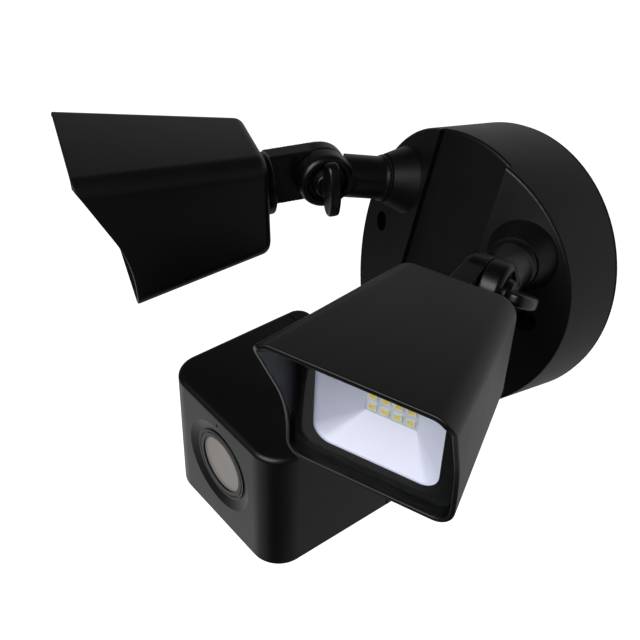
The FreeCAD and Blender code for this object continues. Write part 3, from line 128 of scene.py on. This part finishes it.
def add(tree, kind, settings=None, links=None):
    """Adds one node, sets its inputs or properties, and joins inputs to other nodes' outputs."""
    made = tree.nodes.new(kind)
    for name, value in (settings or {}).items():
        if name == "stops":
            low, high = made.color_ramp.elements
            (low.position, low.color), (high.position, high.color) = value
        elif name in made.inputs:
            made.inputs[name].default_value = value
        else:
            setattr(made, name, value)
    for name, source in (links or {}).items():
        tree.links.new(source, made.inputs[name])
    return made


def soft_box(name, direction, distance, span, power):
    """A square lamp that stands off in a direction and faces the object. It can't be seen."""
    lamp = bpy.data.lights.new(name, "AREA")
    lamp.size = span
    lamp.energy = power
    box = bpy.data.objects.new(name, lamp)
    bpy.context.scene.collection.objects.link(box)
    centre = (cad_low + cad_high) / 2
    away = Vector(direction).normalized()
    facing = away.to_track_quat("Z", "Y").to_matrix().to_4x4()
    box.matrix_world = Matrix.Translation(centre + away * distance) @ facing
    box.visible_camera = False
    return box


def studio_sky():
    """White to the eye. As a light, dim in front (-Y) and bright behind (+Y)."""
    world = bpy.data.worlds.new("studio_sky")
    world.use_nodes = True
    tree = world.node_tree
    background = tree.nodes["Background"]
    background.inputs["Color"].default_value = srgb("#ffffff")
    towards = add(tree, "ShaderNodeTexCoord").outputs["Generated"]
    parts = add(tree, "ShaderNodeSeparateXYZ", links={"Vector": towards})
    back = add(tree, "ShaderNodeMapRange", {
        "From Min": FRONT_EDGE, "From Max": 1.0, "To Min": FRONT_GLOW, "To Max": BACK_GLOW,
    }, {"Value": parts.outputs["Y"]})
    low = add(tree, "ShaderNodeMapRange", {
        "From Min": WALL_TOP, "From Max": CEILING, "To Min": 1.0, "To Max": CEILING_SHARE,
    }, {"Value": parts.outputs["Z"]})
    glow = add(tree, "ShaderNodeMath", {"operation": "MULTIPLY"})
    tree.links.new(back.outputs["Result"], glow.inputs[0])
    tree.links.new(low.outputs["Result"], glow.inputs[1])
    seen = add(tree, "ShaderNodeLightPath").outputs["Is Camera Ray"]
    strength = add(tree, "ShaderNodeMath", {"operation": "MAXIMUM"})
    tree.links.new(glow.outputs["Value"], strength.inputs[0])
    tree.links.new(seen, strength.inputs[1])
    tree.links.new(strength.outputs["Value"], background.inputs["Strength"])
    return world


bpy.context.scene.view_settings.view_transform = "Standard"
bpy.context.scene.world = studio_sky()
soft_box("front_box", (0.15, -0.85, 0.42), distance=1.3, span=1.1, power=19)
soft_box("low_left_box", (-0.60, -0.14, -0.78), distance=0.8, span=0.5, power=0.6)
soft_box("low_front_box", (-0.15, -0.52, -0.92), distance=0.9, span=0.5, power=0.30)

# %% [markdown]
# ## Finishes
#
# Each finish starts from what the real surface is. A moulded casing copies the fine spark-eroded
# grain of its mould, so it takes a faint noise in the bump and a slow drift in the roughness. That
# could be painted as an image, but a noise on Object coordinates needs no unwrapping and has its
# true size in millimetres on every piece.

# %% Helpers for finishes
def begin(name):
    """A new material: its node tree, its shader, and where the surface lies in metres."""
    made = bpy.data.materials.new(name)
    made.use_nodes = True
    tree = made.node_tree
    shader = tree.nodes["Principled BSDF"]
    place = add(tree, "ShaderNodeTexCoord").outputs["Object"]
    return made, tree, shader, place


def per_mm(size):
    """The scale that gives a noise features of this size in millimetres."""
    return 1 / (size * MM)


def mottled(name, light, dark, patch, rough, grain, depth, metallic=0.0, ior=1.5):
    """A finish whose colour and gloss drift over patches, with a fine grain. Sizes are in mm."""
    made, tree, shader, place = begin(name)
    shader.inputs["Metallic"].default_value = metallic
    shader.inputs["IOR"].default_value = ior
    drift = add(tree, "ShaderNodeTexNoise", {"Scale": per_mm(patch), "Detail": 4.0},
                {"Vector": place})
    colour = add(tree, "ShaderNodeValToRGB", {"stops": ((0.3, srgb(dark)), (0.7, srgb(light)))},
                 {"Fac": drift.outputs["Fac"]})
    gloss = add(tree, "ShaderNodeMapRange", {"To Min": rough[0], "To Max": rough[1]},
                {"Value": drift.outputs["Fac"]})
    fine = add(tree, "ShaderNodeTexNoise", {"Scale": per_mm(grain), "Detail": 3.0},
               {"Vector": place})
    bump = add(tree, "ShaderNodeBump", {"Strength": 0.6, "Distance": depth * MM},
               {"Height": fine.outputs["Fac"]})
    tree.links.new(colour.outputs["Color"], shader.inputs["Base Color"])
    tree.links.new(gloss.outputs["Result"], shader.inputs["Roughness"])
    tree.links.new(bump.outputs["Normal"], shader.inputs["Normal"])
    return made


# %% Moulded plastics
# Satin black ABS from a spark-eroded mould: deep black, with wide soft highlights. The real grain
# is near 0.1 mm, too fine to show, so it is drawn at 0.7 mm.
finishes = {}
finishes["case_black"] = mottled(
    "satin_black_abs", "#09090a", "#060607", 18, (0.36, 0.44), 0.7, 0.006, ior=1.42)
# The camera's shell is the same ABS from a slightly finer mould, a shade greyer.
finishes["camera_black"] = mottled(
    "fine_satin_black_abs", "#0d0d0e", "#09090a", 22, (0.34, 0.42), 0.6, 0.005, ior=1.42)
# The arms are zinc castings under black powder paint, which levels into a slightly glossier skin.
finishes["cast_black"] = mottled(
    "black_powder_paint", "#0b0b0c", "#070708", 9, (0.28, 0.36), 0.9, 0.008, ior=1.45)
# The wing bolts are glass-filled nylon from a polished mould, the glossiest of the black parts.
finishes["wing_black"] = mottled(
    "polished_black_nylon", "#0b0b0c", "#070708", 6, (0.28, 0.36), 0.8, 0.003, ior=1.46)
# The windows' borders are black screen ink with a polycarbonate base: smooth, so they mirror the
# room.
finishes["bezel_black"] = mottled(
    "gloss_black_polycarbonate", "#0c0b0b", "#080808", 30, (0.10, 0.14), 2.5, 0.002)
# The camera's lens tube is black glass-filled nylon with a dull surface.
finishes["barrel_black"] = mottled(
    "matt_black_nylon", "#101112", "#0b0b0c", 5, (0.5, 0.6), 0.4, 0.008)
# The driver's case is white ABS and the terminals are natural polyamide, a little yellower.
finishes["driver_white"] = mottled(
    "white_abs", "#e9e8e2", "#deddd6", 12, (0.4, 0.5), 0.7, 0.006)
finishes["terminal_white"] = mottled(
    "natural_polyamide", "#ece7d6", "#e2dcc8", 6, (0.45, 0.55), 0.6, 0.008)
print("plastics:", [m.name for m in finishes.values()])

# %% [markdown]
# Rubber and foam scatter nearly all of their light, so they are rough with a coarser grain. Foam is
# drawn with a cell of 0.9 mm. Metals keep the default IOR and get their look from roughness: zinc
# plate is smooth and slightly blue, extruded aluminium is duller, black oxide is dark and oily.

# %% Rubber, foam and metals
finishes["rubber_black"] = mottled(
    "moulded_rubber", "#151515", "#0e0e0e", 8, (0.6, 0.72), 0.5, 0.010)
finishes["foam_black"] = mottled(
    "closed_cell_foam", "#1b1b1c", "#111112", 5, (0.8, 0.9), 0.9, 0.060)
finishes["steel"] = mottled(
    "zinc_plated_steel", "#c4c7cc", "#a9adb3", 3, (0.22, 0.34), 0.5, 0.004, metallic=1.0)
finishes["screw_black"] = mottled(
    "black_oxide_steel", "#2a2a2c", "#1c1c1e", 3, (0.32, 0.42), 0.4, 0.004, metallic=1.0)
finishes["ground_green"] = mottled(
    "green_dyed_zinc", "#3f8f4a", "#2c7338", 3, (0.28, 0.38), 0.5, 0.004, metallic=1.0)
finishes["sink_aluminium"] = mottled(
    "extruded_aluminium", "#b9bbbd", "#a3a5a8", 6, (0.35, 0.5), 0.5, 0.008, metallic=1.0)
print("finishes so far:", len(finishes))

# %% [markdown]
# The reflector is polycarbonate filled with white pigment, polished in the mould. It is very bright
# and faintly blue. The light boards are aluminium under white solder mask, which is slightly green
# where copper runs beneath it, so two noises of different sizes suggest the copper areas.

# %% Reflector and boards
finishes["reflector_white"] = mottled(
    "white_polycarbonate", "#ebeeff", "#e5e9fe", 25, (0.25, 0.32), 1.5, 0.003)
finishes["board_white"] = mottled(
    "white_solder_mask", "#e6edf2", "#d3dee6", 4, (0.35, 0.45), 0.8, 0.006)
finishes["board_green"] = mottled(
    "green_solder_mask", "#1d6b3a", "#14512b", 3, (0.3, 0.4), 0.8, 0.010)
# The LED's yellow face is silicone loaded with phosphor powder: waxy, with a grain of 0.25 mm.
finishes["led_yellow"] = mottled(
    "phosphor_silicone", "#fff06a", "#fbe24e", 1.2, (0.4, 0.5), 0.25, 0.010)
finishes["led_frame"] = mottled(
    "white_polyphthalamide", "#f4f5f2", "#ebece8", 1.5, (0.35, 0.45), 0.3, 0.004)


# %% Clear and tinted windows
SMEAR = 9                       # mm, size of the cleaning smears on a window
GLOSS_DRIFT = 0.3               # how much the roughness varies with them


def window_finish(name, colour, alpha, rough):
    """A thin sheet that mirrors the light. Its alpha lets the inside show without noise."""
    made, tree, shader, place = begin(name)
    smear = add(tree, "ShaderNodeTexNoise", {"Scale": per_mm(SMEAR), "Detail": 3.0},
                {"Vector": place})
    gloss = add(tree, "ShaderNodeMapRange", {
        "To Min": rough * (1 - GLOSS_DRIFT), "To Max": rough * (1 + GLOSS_DRIFT),
    }, {"Value": smear.outputs["Fac"]})
    tree.links.new(gloss.outputs["Result"], shader.inputs["Roughness"])
    shader.inputs["Base Color"].default_value = srgb(colour)
    shader.inputs["Alpha"].default_value = alpha
    return made


finishes["clear_glass"] = window_finish("tempered_glass", "#262b2b", 0.06, 0.03)
finishes["window_tint"] = window_finish("milky_polycarbonate", "#8d8784", 0.96, 0.36)
print("all finishes:", sorted(finishes))

# %% Put the finishes on the CAD parts
for node_object in frame["nodes"].values():
    slot_name = node_object.data.materials[0].name.split(".")[0]
    node_object.data.materials[0] = finishes[slot_name]
print("CAD parts finished:", len(frame["nodes"]))

# %% [markdown]
# ## Where the heads stand
#
# Each light is tilted and swivelled, so its own axes don't follow the room. They can be read from
# the CAD model: the tilt joint gives the line across, and the flat window gives the line to the
# front. With those two a piece can be drawn straight, in millimetres from its knuckle's axis, and
# then moved into place in one step.

# %% Own axes of a head
TINY = 0.01                     # mm, closer than this is the same place


def joint(name):
    return next(j for j in frame["joints"] if j["name"] == name)


def own_axes(across_joint, back, at):
    """From millimetres along a part's own axes to the frame: X across, Y back, Z up."""
    across = Vector(joint(across_joint)["axis"]).normalized()
    back = (back - across * back.dot(across)).normalized()
    if back.y < 0:
        back = -back
    up = across.cross(back)
    turn = Matrix((across, back, up)).transposed().to_4x4()
    return Matrix.Translation(at) @ turn @ Matrix.Scale(MM, 4)


def head_axes(name, flat_node):
    """Own axes of a head, whose front is the largest flat of one of its parts."""
    flats = frame["nodes"][flat_node].data.polygons
    widest = max(flats, key=lambda face: face.area)
    tilt = name + "_tilt"
    return own_axes(tilt, Vector(widest.normal), joint(tilt)["pos_m"])


def own_box(node, axes):
    """Lowest and highest corner of a CAD part along a head's own axes, in millimetres."""
    straight = axes.inverted()
    spots = [straight @ v.co for v in frame["nodes"][node].data.vertices]
    low = Vector([min(s[i] for s in spots) for i in range(3)])
    high = Vector([max(s[i] for s in spots) for i in range(3)])
    return low, high


heads = {"left": head_axes("left", "left_glass"), "right": head_axes("right", "right_glass"),
         "camera": head_axes("camera", "camera_window")}
for name, axes in heads.items():
    front = -(axes.to_3x3().normalized() @ Vector((0, 1, 0)))
    print(name, "faces", [round(c, 2) for c in front])


# %% Helpers for new pieces
EDGE_STEPS = 3                  # facets across a rounded edge


def settle(name, shape, axes, materials, body, replaced=(), crease=35):
    """Makes a drawn shape an object in the frame that rides on a body and stands for CAD parts."""
    bmesh.ops.transform(shape, matrix=axes, verts=shape.verts)
    mesh = bpy.data.meshes.new(name)
    shape.to_mesh(mesh)
    shape.free()
    mesh.shade_smooth()
    mesh.set_sharp_from_angle(angle=math.radians(crease))
    made = bpy.data.objects.new(name, mesh)
    bpy.context.scene.collection.objects.link(made)
    for material in materials:
        mesh.materials.append(material)
    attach(made, body)
    if replaced:
        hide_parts(*replaced)
    print(name, len(mesh.polygons), "faces")
    return made


def round_edges(made, width, limit=30, harden=True):
    """Rounds a piece's sharp edges by a width in millimetres, and keeps its flats flat."""
    rounding = made.modifiers.new("rounded_edges", "BEVEL")
    rounding.width = width * MM
    rounding.segments = EDGE_STEPS
    rounding.limit_method = "ANGLE"
    rounding.angle_limit = math.radians(limit)
    rounding.harden_normals = harden


# %% [markdown]
# ## The light housings
#
# A floodlight's housing is one moulding: a tapered box with rounded long edges and an open front,
# whose top runs on as a visor while its sides sweep back in a curve to the shorter bottom lip. It
# could be lofted between sections. Here it is a cube whose corners are moved to the taper, because
# then the bevel operator gives all the rounding, and flat cuts give the sweep of the sides. The
# wall comes last, from a Solidify modifier, so inside and outside stay parallel.

# %% Sizes of a housing, in millimetres
BACK_DISTANCE = 30.7            # knuckle axis to the back face
VISOR_LENGTH = 82.0
LIP_DEPTH = 62.6
BACK_HALF_WIDTH = 24.5
BACK_TOP = 24.2
BACK_BOTTOM = 23.9
SIDE_FLARE = 0.151              # growth per millimetre of depth
TOP_FLARE = 0.127
BOTTOM_FLARE = 0.131
HOUSING_CORNER = 8.0
HOUSING_BACK_FILLET = 4.0
HOUSING_WALL = 2.0
CORNER_FACETS = 10
BACK_FACETS = 6
LIP_ROUNDING = 0.55
SWEEP_RADIUS = 66.0
SWEEP_ANGLE = 25.0
SWEEP_FOOT = 9.0                # height of the sweep's foot above the bottom lip
SWEEP_STEPS = 10
PAD_RADIUS = 15.2               # round pad on the back, where the bracket is screwed on
PAD_HEIGHT = 1.8
PAD_BITE = 0.5                  # how deep it stands in the housing's back
PAD_ROUNDING = 0.5
PAD_FACETS = 72


def sweep_outline():
    """The front edge of a side, as (depth, height) points from bottom lip to visor tip."""
    foot = -BACK_BOTTOM - BOTTOM_FLARE * LIP_DEPTH + SWEEP_FOOT
    under_visor = BACK_TOP + TOP_FLARE * VISOR_LENGTH - HOUSING_WALL
    points = [(LIP_DEPTH, -VISOR_LENGTH)]
    for step in range(SWEEP_STEPS + 1):
        turn = math.radians(SWEEP_ANGLE * step / SWEEP_STEPS)
        depth = LIP_DEPTH + SWEEP_RADIUS * (1 - math.cos(turn))
        points.append((depth, foot + SWEEP_RADIUS * math.sin(turn)))
    points.append((VISOR_LENGTH, under_visor))
    return points


def outline_depth(points, height):
    """Depth of the front edge at a height."""
    for (depth_1, height_1), (depth_2, height_2) in zip(points, points[1:]):
        if height <= height_2:
            share = (height - height_1) / (height_2 - height_1)
            return depth_1 + share * (depth_2 - depth_1)
    return VISOR_LENGTH


def housing_shape():
    shape = bmesh.new()
    for corner in bmesh.ops.create_cube(shape, size=2)["verts"]:
        depth = 0 if corner.co.y > 0 else VISOR_LENGTH
        half = BACK_HALF_WIDTH + SIDE_FLARE * depth
        top = BACK_TOP + TOP_FLARE * depth
        bottom = BACK_BOTTOM + BOTTOM_FLARE * depth
        height = top if corner.co.z > 0 else -bottom
        corner.co = (half * corner.co.x, -BACK_DISTANCE - depth, height)
    back_y = -BACK_DISTANCE
    front_y = back_y - VISOR_LENGTH
    long_edges = [e for e in shape.edges if abs(e.verts[0].co.y - e.verts[1].co.y) > TINY]
    bmesh.ops.bevel(shape, geom=long_edges, offset=HOUSING_CORNER, segments=CORNER_FACETS,
                    profile=0.5, affect="EDGES", material=-1)
    back_rim = [e for e in shape.edges if all(abs(v.co.y - back_y) < TINY for v in e.verts)]
    bmesh.ops.bevel(shape, geom=back_rim, offset=HOUSING_BACK_FILLET, segments=BACK_FACETS,
                    profile=0.5, affect="EDGES", material=-1)
    mouth = [f for f in shape.faces if all(abs(v.co.y - front_y) < TINY for v in f.verts)]
    bmesh.ops.delete(shape, geom=mouth, context="FACES")
    points = sweep_outline()
    for (depth_1, height_1), (depth_2, height_2) in zip(points, points[1:]):
        along = Vector((0, depth_1 - depth_2, height_2 - height_1))
        everything = shape.verts[:] + shape.edges[:] + shape.faces[:]
        bmesh.ops.bisect_plane(shape, geom=everything, dist=TINY / 10,
                               plane_co=(0, back_y - depth_1, height_1),
                               plane_no=along.cross(Vector((1, 0, 0))))
    tip_height = points[-1][1]
    beyond = []
    for face in shape.faces:
        middle = face.calc_center_median()
        if middle.z < tip_height and back_y - middle.y > outline_depth(points, middle.z) + TINY:
            beyond.append(face)
    bmesh.ops.delete(shape, geom=beyond, context="FACES")
    bmesh.ops.dissolve_limit(shape, angle_limit=math.radians(0.3), verts=shape.verts,
                             edges=shape.edges)
    bmesh.ops.recalc_face_normals(shape, faces=shape.faces)
    return shape


def give_wall(made, thickness):
    """A wall inwards from a drawn outside, in millimetres."""
    wall = made.modifiers.new("wall", "SOLIDIFY")
    wall.thickness = thickness * MM
    wall.offset = -1
    wall.use_even_offset = True
    wall.use_quality_normals = True


for name in ("left", "right"):
    moulding = settle(name + "_lamp_housing", housing_shape(), heads[name],
                      [finishes["case_black"]], name + "_light", [name + "_housing"])
    give_wall(moulding, HOUSING_WALL)
    round_edges(moulding, LIP_ROUNDING)
    pad = bmesh.new()
    bmesh.ops.create_cone(pad, cap_ends=True, segments=PAD_FACETS, radius1=PAD_RADIUS,
                          radius2=PAD_RADIUS, depth=PAD_HEIGHT + PAD_BITE)
    rims = [e for e in pad.edges if abs(e.verts[0].co.z - e.verts[1].co.z) < TINY]
    bmesh.ops.bevel(pad, geom=rims, offset=PAD_ROUNDING, segments=EDGE_STEPS, profile=0.5,
                    affect="EDGES", material=-1)
    bmesh.ops.rotate(pad, verts=pad.verts, matrix=Matrix.Rotation(math.radians(90), 3, "X"))
    pad_y = -BACK_DISTANCE + (PAD_HEIGHT - PAD_BITE) / 2
    bmesh.ops.translate(pad, verts=pad.verts, vec=(0, pad_y, 0))
    settle(name + "_rear_pad", pad, heads[name], [finishes["case_black"]], name + "_light")

# %% [markdown]
# ## The knuckles, arms and wing screws
#
# The arms and straps are small zinc castings under black powder paint, and the wing bolts are
# moulded nylon. Neither has a sharp edge: the corners are radiused so that the melt flows, and on
# the castings the paint fills what is left. Each could be redrawn with a fillet on every edge. Here
# a merged copy of the CAD part is given an even skin by a voxel Remesh modifier, and a Smooth
# modifier then draws every edge and inside corner into a soft radius.

# %% Softened copies of the castings and wing bolts
CAST_SKIN = 0.45                # mm, size of the voxels
CAST_PASSES = 9                 # more passes, wider radius
SCREW_SKIN = 0.35
SCREW_PASSES = 10


def merged_copy(node):
    """A CAD part's surface as one joined skin, in millimetres."""
    shape = bmesh.new()
    shape.from_mesh(frame["nodes"][node].data)
    bmesh.ops.scale(shape, verts=shape.verts, vec=(1 / MM, 1 / MM, 1 / MM))
    bmesh.ops.remove_doubles(shape, verts=shape.verts, dist=TINY / 10)
    return shape


def soften(made, skin, passes):
    """Gives a piece an even skin and draws its edges round."""
    cover = made.modifiers.new("skin", "REMESH")
    cover.mode = "VOXEL"
    cover.voxel_size = skin * MM
    cover.use_smooth_shade = True
    flow = made.modifiers.new("flow", "SMOOTH")
    flow.factor = 0.5
    flow.iterations = passes


millimetres = Matrix.Scale(MM, 4)
head_bodies = {"left": "left_light", "right": "right_light", "camera": "camera_head"}
for name, head_body in head_bodies.items():
    arm = settle(name + "_arm_casting", merged_copy(name + "_arm"), millimetres,
                 [finishes["cast_black"]], name + "_arm", [name + "_arm"])
    soften(arm, CAST_SKIN, CAST_PASSES)
    strap = settle(name + "_strap_casting", merged_copy(name + "_bracket"), millimetres,
                   [finishes["cast_black"]], head_body, [name + "_bracket"])
    soften(strap, CAST_SKIN, CAST_PASSES)
    wing = settle(name + "_wing_bolt", merged_copy(name + "_wing_screw"), millimetres,
                  [finishes["wing_black"]], name + "_wing", [name + "_wing_screw"])
    soften(wing, SCREW_SKIN, SCREW_PASSES)

# %% [markdown]
# ## The light engine behind each window
#
# Sixteen white-framed LED packages stand on the board, each with a yellow phosphor window sunk into
# a white plastic frame. One package is a cube whose front is inset, bevelled round its rim and
# pushed in, and it is set down sixteen times. The white well round them stays the CAD part.

# %% LED packages
LED_COLUMNS = 4
LED_ROWS = 4
LED_PITCH = 5.1
LED_LENGTH, LED_HEIGHT, LED_DEPTH = 3.5, 2.8, 0.8
LED_FRAME = 0.42                # width of the white frame
LED_SINK = 0.12
LED_ROUNDING = 0.18
FACING = 0.9                    # a normal's share along an axis that counts as facing it


def led_package(shape, place):
    """One package whose front faces -Y. The phosphor takes the second material."""
    made = bmesh.ops.create_cube(shape, size=1)["verts"]
    bmesh.ops.scale(shape, verts=made, vec=(LED_LENGTH, LED_DEPTH, LED_HEIGHT))
    bmesh.ops.translate(shape, verts=made, vec=place)
    faces = {face for corner in made for face in corner.link_faces}
    front = min(faces, key=lambda face: face.calc_center_median().y)
    bmesh.ops.inset_individual(shape, faces=[front], thickness=LED_FRAME)
    bmesh.ops.bevel(shape, geom=list(front.edges), offset=LED_ROUNDING, segments=2, profile=0.5,
                    affect="EDGES", material=-1)
    windows = [f for f in shape.faces if f.normal.y < -FACING
               and (f.calc_center_median() - place).length < LED_DEPTH]
    middle = min(windows, key=lambda face: (face.calc_center_median() - place).xz.length)
    middle.material_index = 1
    bmesh.ops.translate(shape, verts=middle.verts, vec=(0, LED_SINK, 0))


for name in ("left", "right"):
    low, high = own_box(name + "_led_chips", heads[name])
    centre = (low + high) / 2
    packages = bmesh.new()
    for column in range(LED_COLUMNS):
        for row in range(LED_ROWS):
            step = Vector((column - (LED_COLUMNS - 1) / 2, 0, row - (LED_ROWS - 1) / 2))
            led_package(packages, centre + step * LED_PITCH)
    bmesh.ops.recalc_face_normals(packages, faces=packages.faces)
    settle(name + "_led_packages", packages, heads[name],
           [finishes["led_frame"], finishes["led_yellow"]], name + "_light",
           [name + "_led_chips"])

# %% [markdown]
# ## The window panes
#
# Each light's window is a pane of toughened glass with a black border screen-printed on its inner
# face, so the border has the gloss of the glass in front of it and a crisp inner edge. A frame in
# front of the glass would look the same from afar, but up close its edge would cast a shadow. The
# pane and the print are both plates with round corners, and the print's opening comes from bridging
# a large outline to a small one.

# %% Pane and printed border
WINDOW_WIDTH, WINDOW_HEIGHT = 50.0, 44.0
WINDOW_CORNER = 7.0
PANE_CORNER = 5.6
PANE_ROUNDING = 0.3
PRINT_MARGIN = 0.3              # between the print's edge and the pane's
PRINT_DEPTH = 0.12
CORNER_STEPS = 8


def round_plate(shape, width, height, corner, front_y, depth):
    """A plate with round corners whose front faces -Y."""
    made = bmesh.ops.create_cube(shape, size=1)["verts"]
    bmesh.ops.scale(shape, verts=made, vec=(width, depth, height))
    bmesh.ops.translate(shape, verts=made, vec=(0, front_y + depth / 2, 0))
    corners = {e for v in made for e in v.link_edges
               if abs(e.verts[0].co.y - e.verts[1].co.y) > TINY}
    bmesh.ops.bevel(shape, geom=list(corners), offset=corner, segments=CORNER_STEPS, profile=0.5,
                    affect="EDGES", material=-1)


def printed_border(width, height, pane_corner, front_y):
    """A thin plate with a round-cornered opening, made by joining two outlines."""
    shape = bmesh.new()
    round_plate(shape, width, height, pane_corner, front_y, PRINT_DEPTH)
    shape.normal_update()
    outer = [f for f in shape.faces if abs(f.normal.y) > FACING]
    bmesh.ops.delete(shape, geom=outer, context="FACES")
    kept = set(shape.faces)
    round_plate(shape, WINDOW_WIDTH, WINDOW_HEIGHT, WINDOW_CORNER, front_y, PRINT_DEPTH)
    shape.normal_update()
    inner = [f for f in shape.faces if f not in kept and abs(f.normal.y) > FACING]
    bmesh.ops.delete(shape, geom=inner, context="FACES")
    for level in (front_y, front_y + PRINT_DEPTH):
        rims = [e for e in shape.edges if all(abs(v.co.y - level) < TINY for v in e.verts)]
        bmesh.ops.bridge_loops(shape, edges=rims)
    bmesh.ops.recalc_face_normals(shape, faces=shape.faces)
    return shape


for name in ("left", "right"):
    bezel_low, bezel_high = own_box(name + "_bezel", heads[name])
    glass_low, glass_high = own_box(name + "_glass", heads[name])
    middle_z = (bezel_low.z + bezel_high.z) / 2
    width, height = bezel_high.x - bezel_low.x, bezel_high.z - bezel_low.z
    pane = bmesh.new()
    pane_depth = glass_high.y - bezel_low.y - PRINT_DEPTH - 2 * TINY
    round_plate(pane, width, height, PANE_CORNER, bezel_low.y, pane_depth)
    rims = [e for e in pane.edges if abs(e.verts[0].co.y - e.verts[1].co.y) < TINY]
    bmesh.ops.bevel(pane, geom=rims, offset=PANE_ROUNDING, segments=2, profile=0.5,
                    affect="EDGES", material=-1)
    bmesh.ops.translate(pane, verts=pane.verts, vec=(0, 0, middle_z))
    settle(name + "_window_pane", pane, heads[name], [finishes["clear_glass"]], name + "_light",
           [name + "_glass"])
    border = printed_border(width - 2 * PRINT_MARGIN, height - 2 * PRINT_MARGIN,
                            PANE_CORNER - PRINT_MARGIN, glass_high.y - PRINT_DEPTH - TINY)
    bmesh.ops.translate(border, verts=border.verts, vec=(0, 0, middle_z))
    settle(name + "_window_print", border, heads[name], [finishes["bezel_black"]], name + "_light",
           [name + "_bezel"])

# %% [markdown]
# ## The wall canopy
#
# The base is one large moulding. Its shape is right in the CAD model, but every edge between its
# flats, cones and cylinder is sharp, and a real mould rounds them all a little. The merged copy's
# coplanar triangles are dissolved first, so that the Bevel modifier meets whole edges.

# %% Canopy with rounded edges
CANOPY_ROUNDING = 0.6
FLAT_ANGLE = 0.4                # degrees, faces closer than this are one flat
CANOPY_CREASE = 25
CANOPY_EDGE = 22                # degrees, an edge sharper than this is rounded

canopy = merged_copy("base_canopy")
bmesh.ops.dissolve_limit(canopy, angle_limit=math.radians(FLAT_ANGLE), verts=canopy.verts,
                         edges=canopy.edges)
shell = settle("canopy_moulding", canopy, millimetres, [finishes["case_black"]], "base",
               ["base_canopy"], crease=CANOPY_CREASE)
round_edges(shell, CANOPY_ROUNDING, limit=CANOPY_EDGE, harden=False)
weigh = shell.modifiers.new("flat_flats", "WEIGHTED_NORMAL")
weigh.keep_sharp = True

# %% [markdown]
# ## The floor
#
# The object hangs on a wall, so the floor is a plain pale sheet far below it. It glows white like
# the sky, and it is kept out of the reflections, as a black card would do.

# %% Floor
FLOOR_DROP = 0.55               # metres below the object
FLOOR_SPAN = 9.0

floor_mesh = bpy.data.meshes.new("floor")
floor_shape = bmesh.new()
bmesh.ops.create_grid(floor_shape, x_segments=1, y_segments=1, size=FLOOR_SPAN)
bmesh.ops.translate(floor_shape, verts=floor_shape.verts, vec=(0, 0, cad_low.z - FLOOR_DROP))
floor_shape.to_mesh(floor_mesh)
floor_shape.free()
floor = bpy.data.objects.new("floor", floor_mesh)
bpy.context.scene.collection.objects.link(floor)
floor_paint = mottled("pale_floor", "#fbfbfb", "#f7f7f7", 400, (0.8, 0.9), 4, 0.01)
floor_mesh.materials.append(floor_paint)
floor_shader = floor_paint.node_tree.nodes["Principled BSDF"]
floor_shader.inputs["Emission Color"].default_value = srgb("#ffffff")
floor_shader.inputs["Emission Strength"].default_value = 1.0
floor.visible_glossy = False
floor.visible_diffuse = False
print("floor", FLOOR_DROP, "m below")
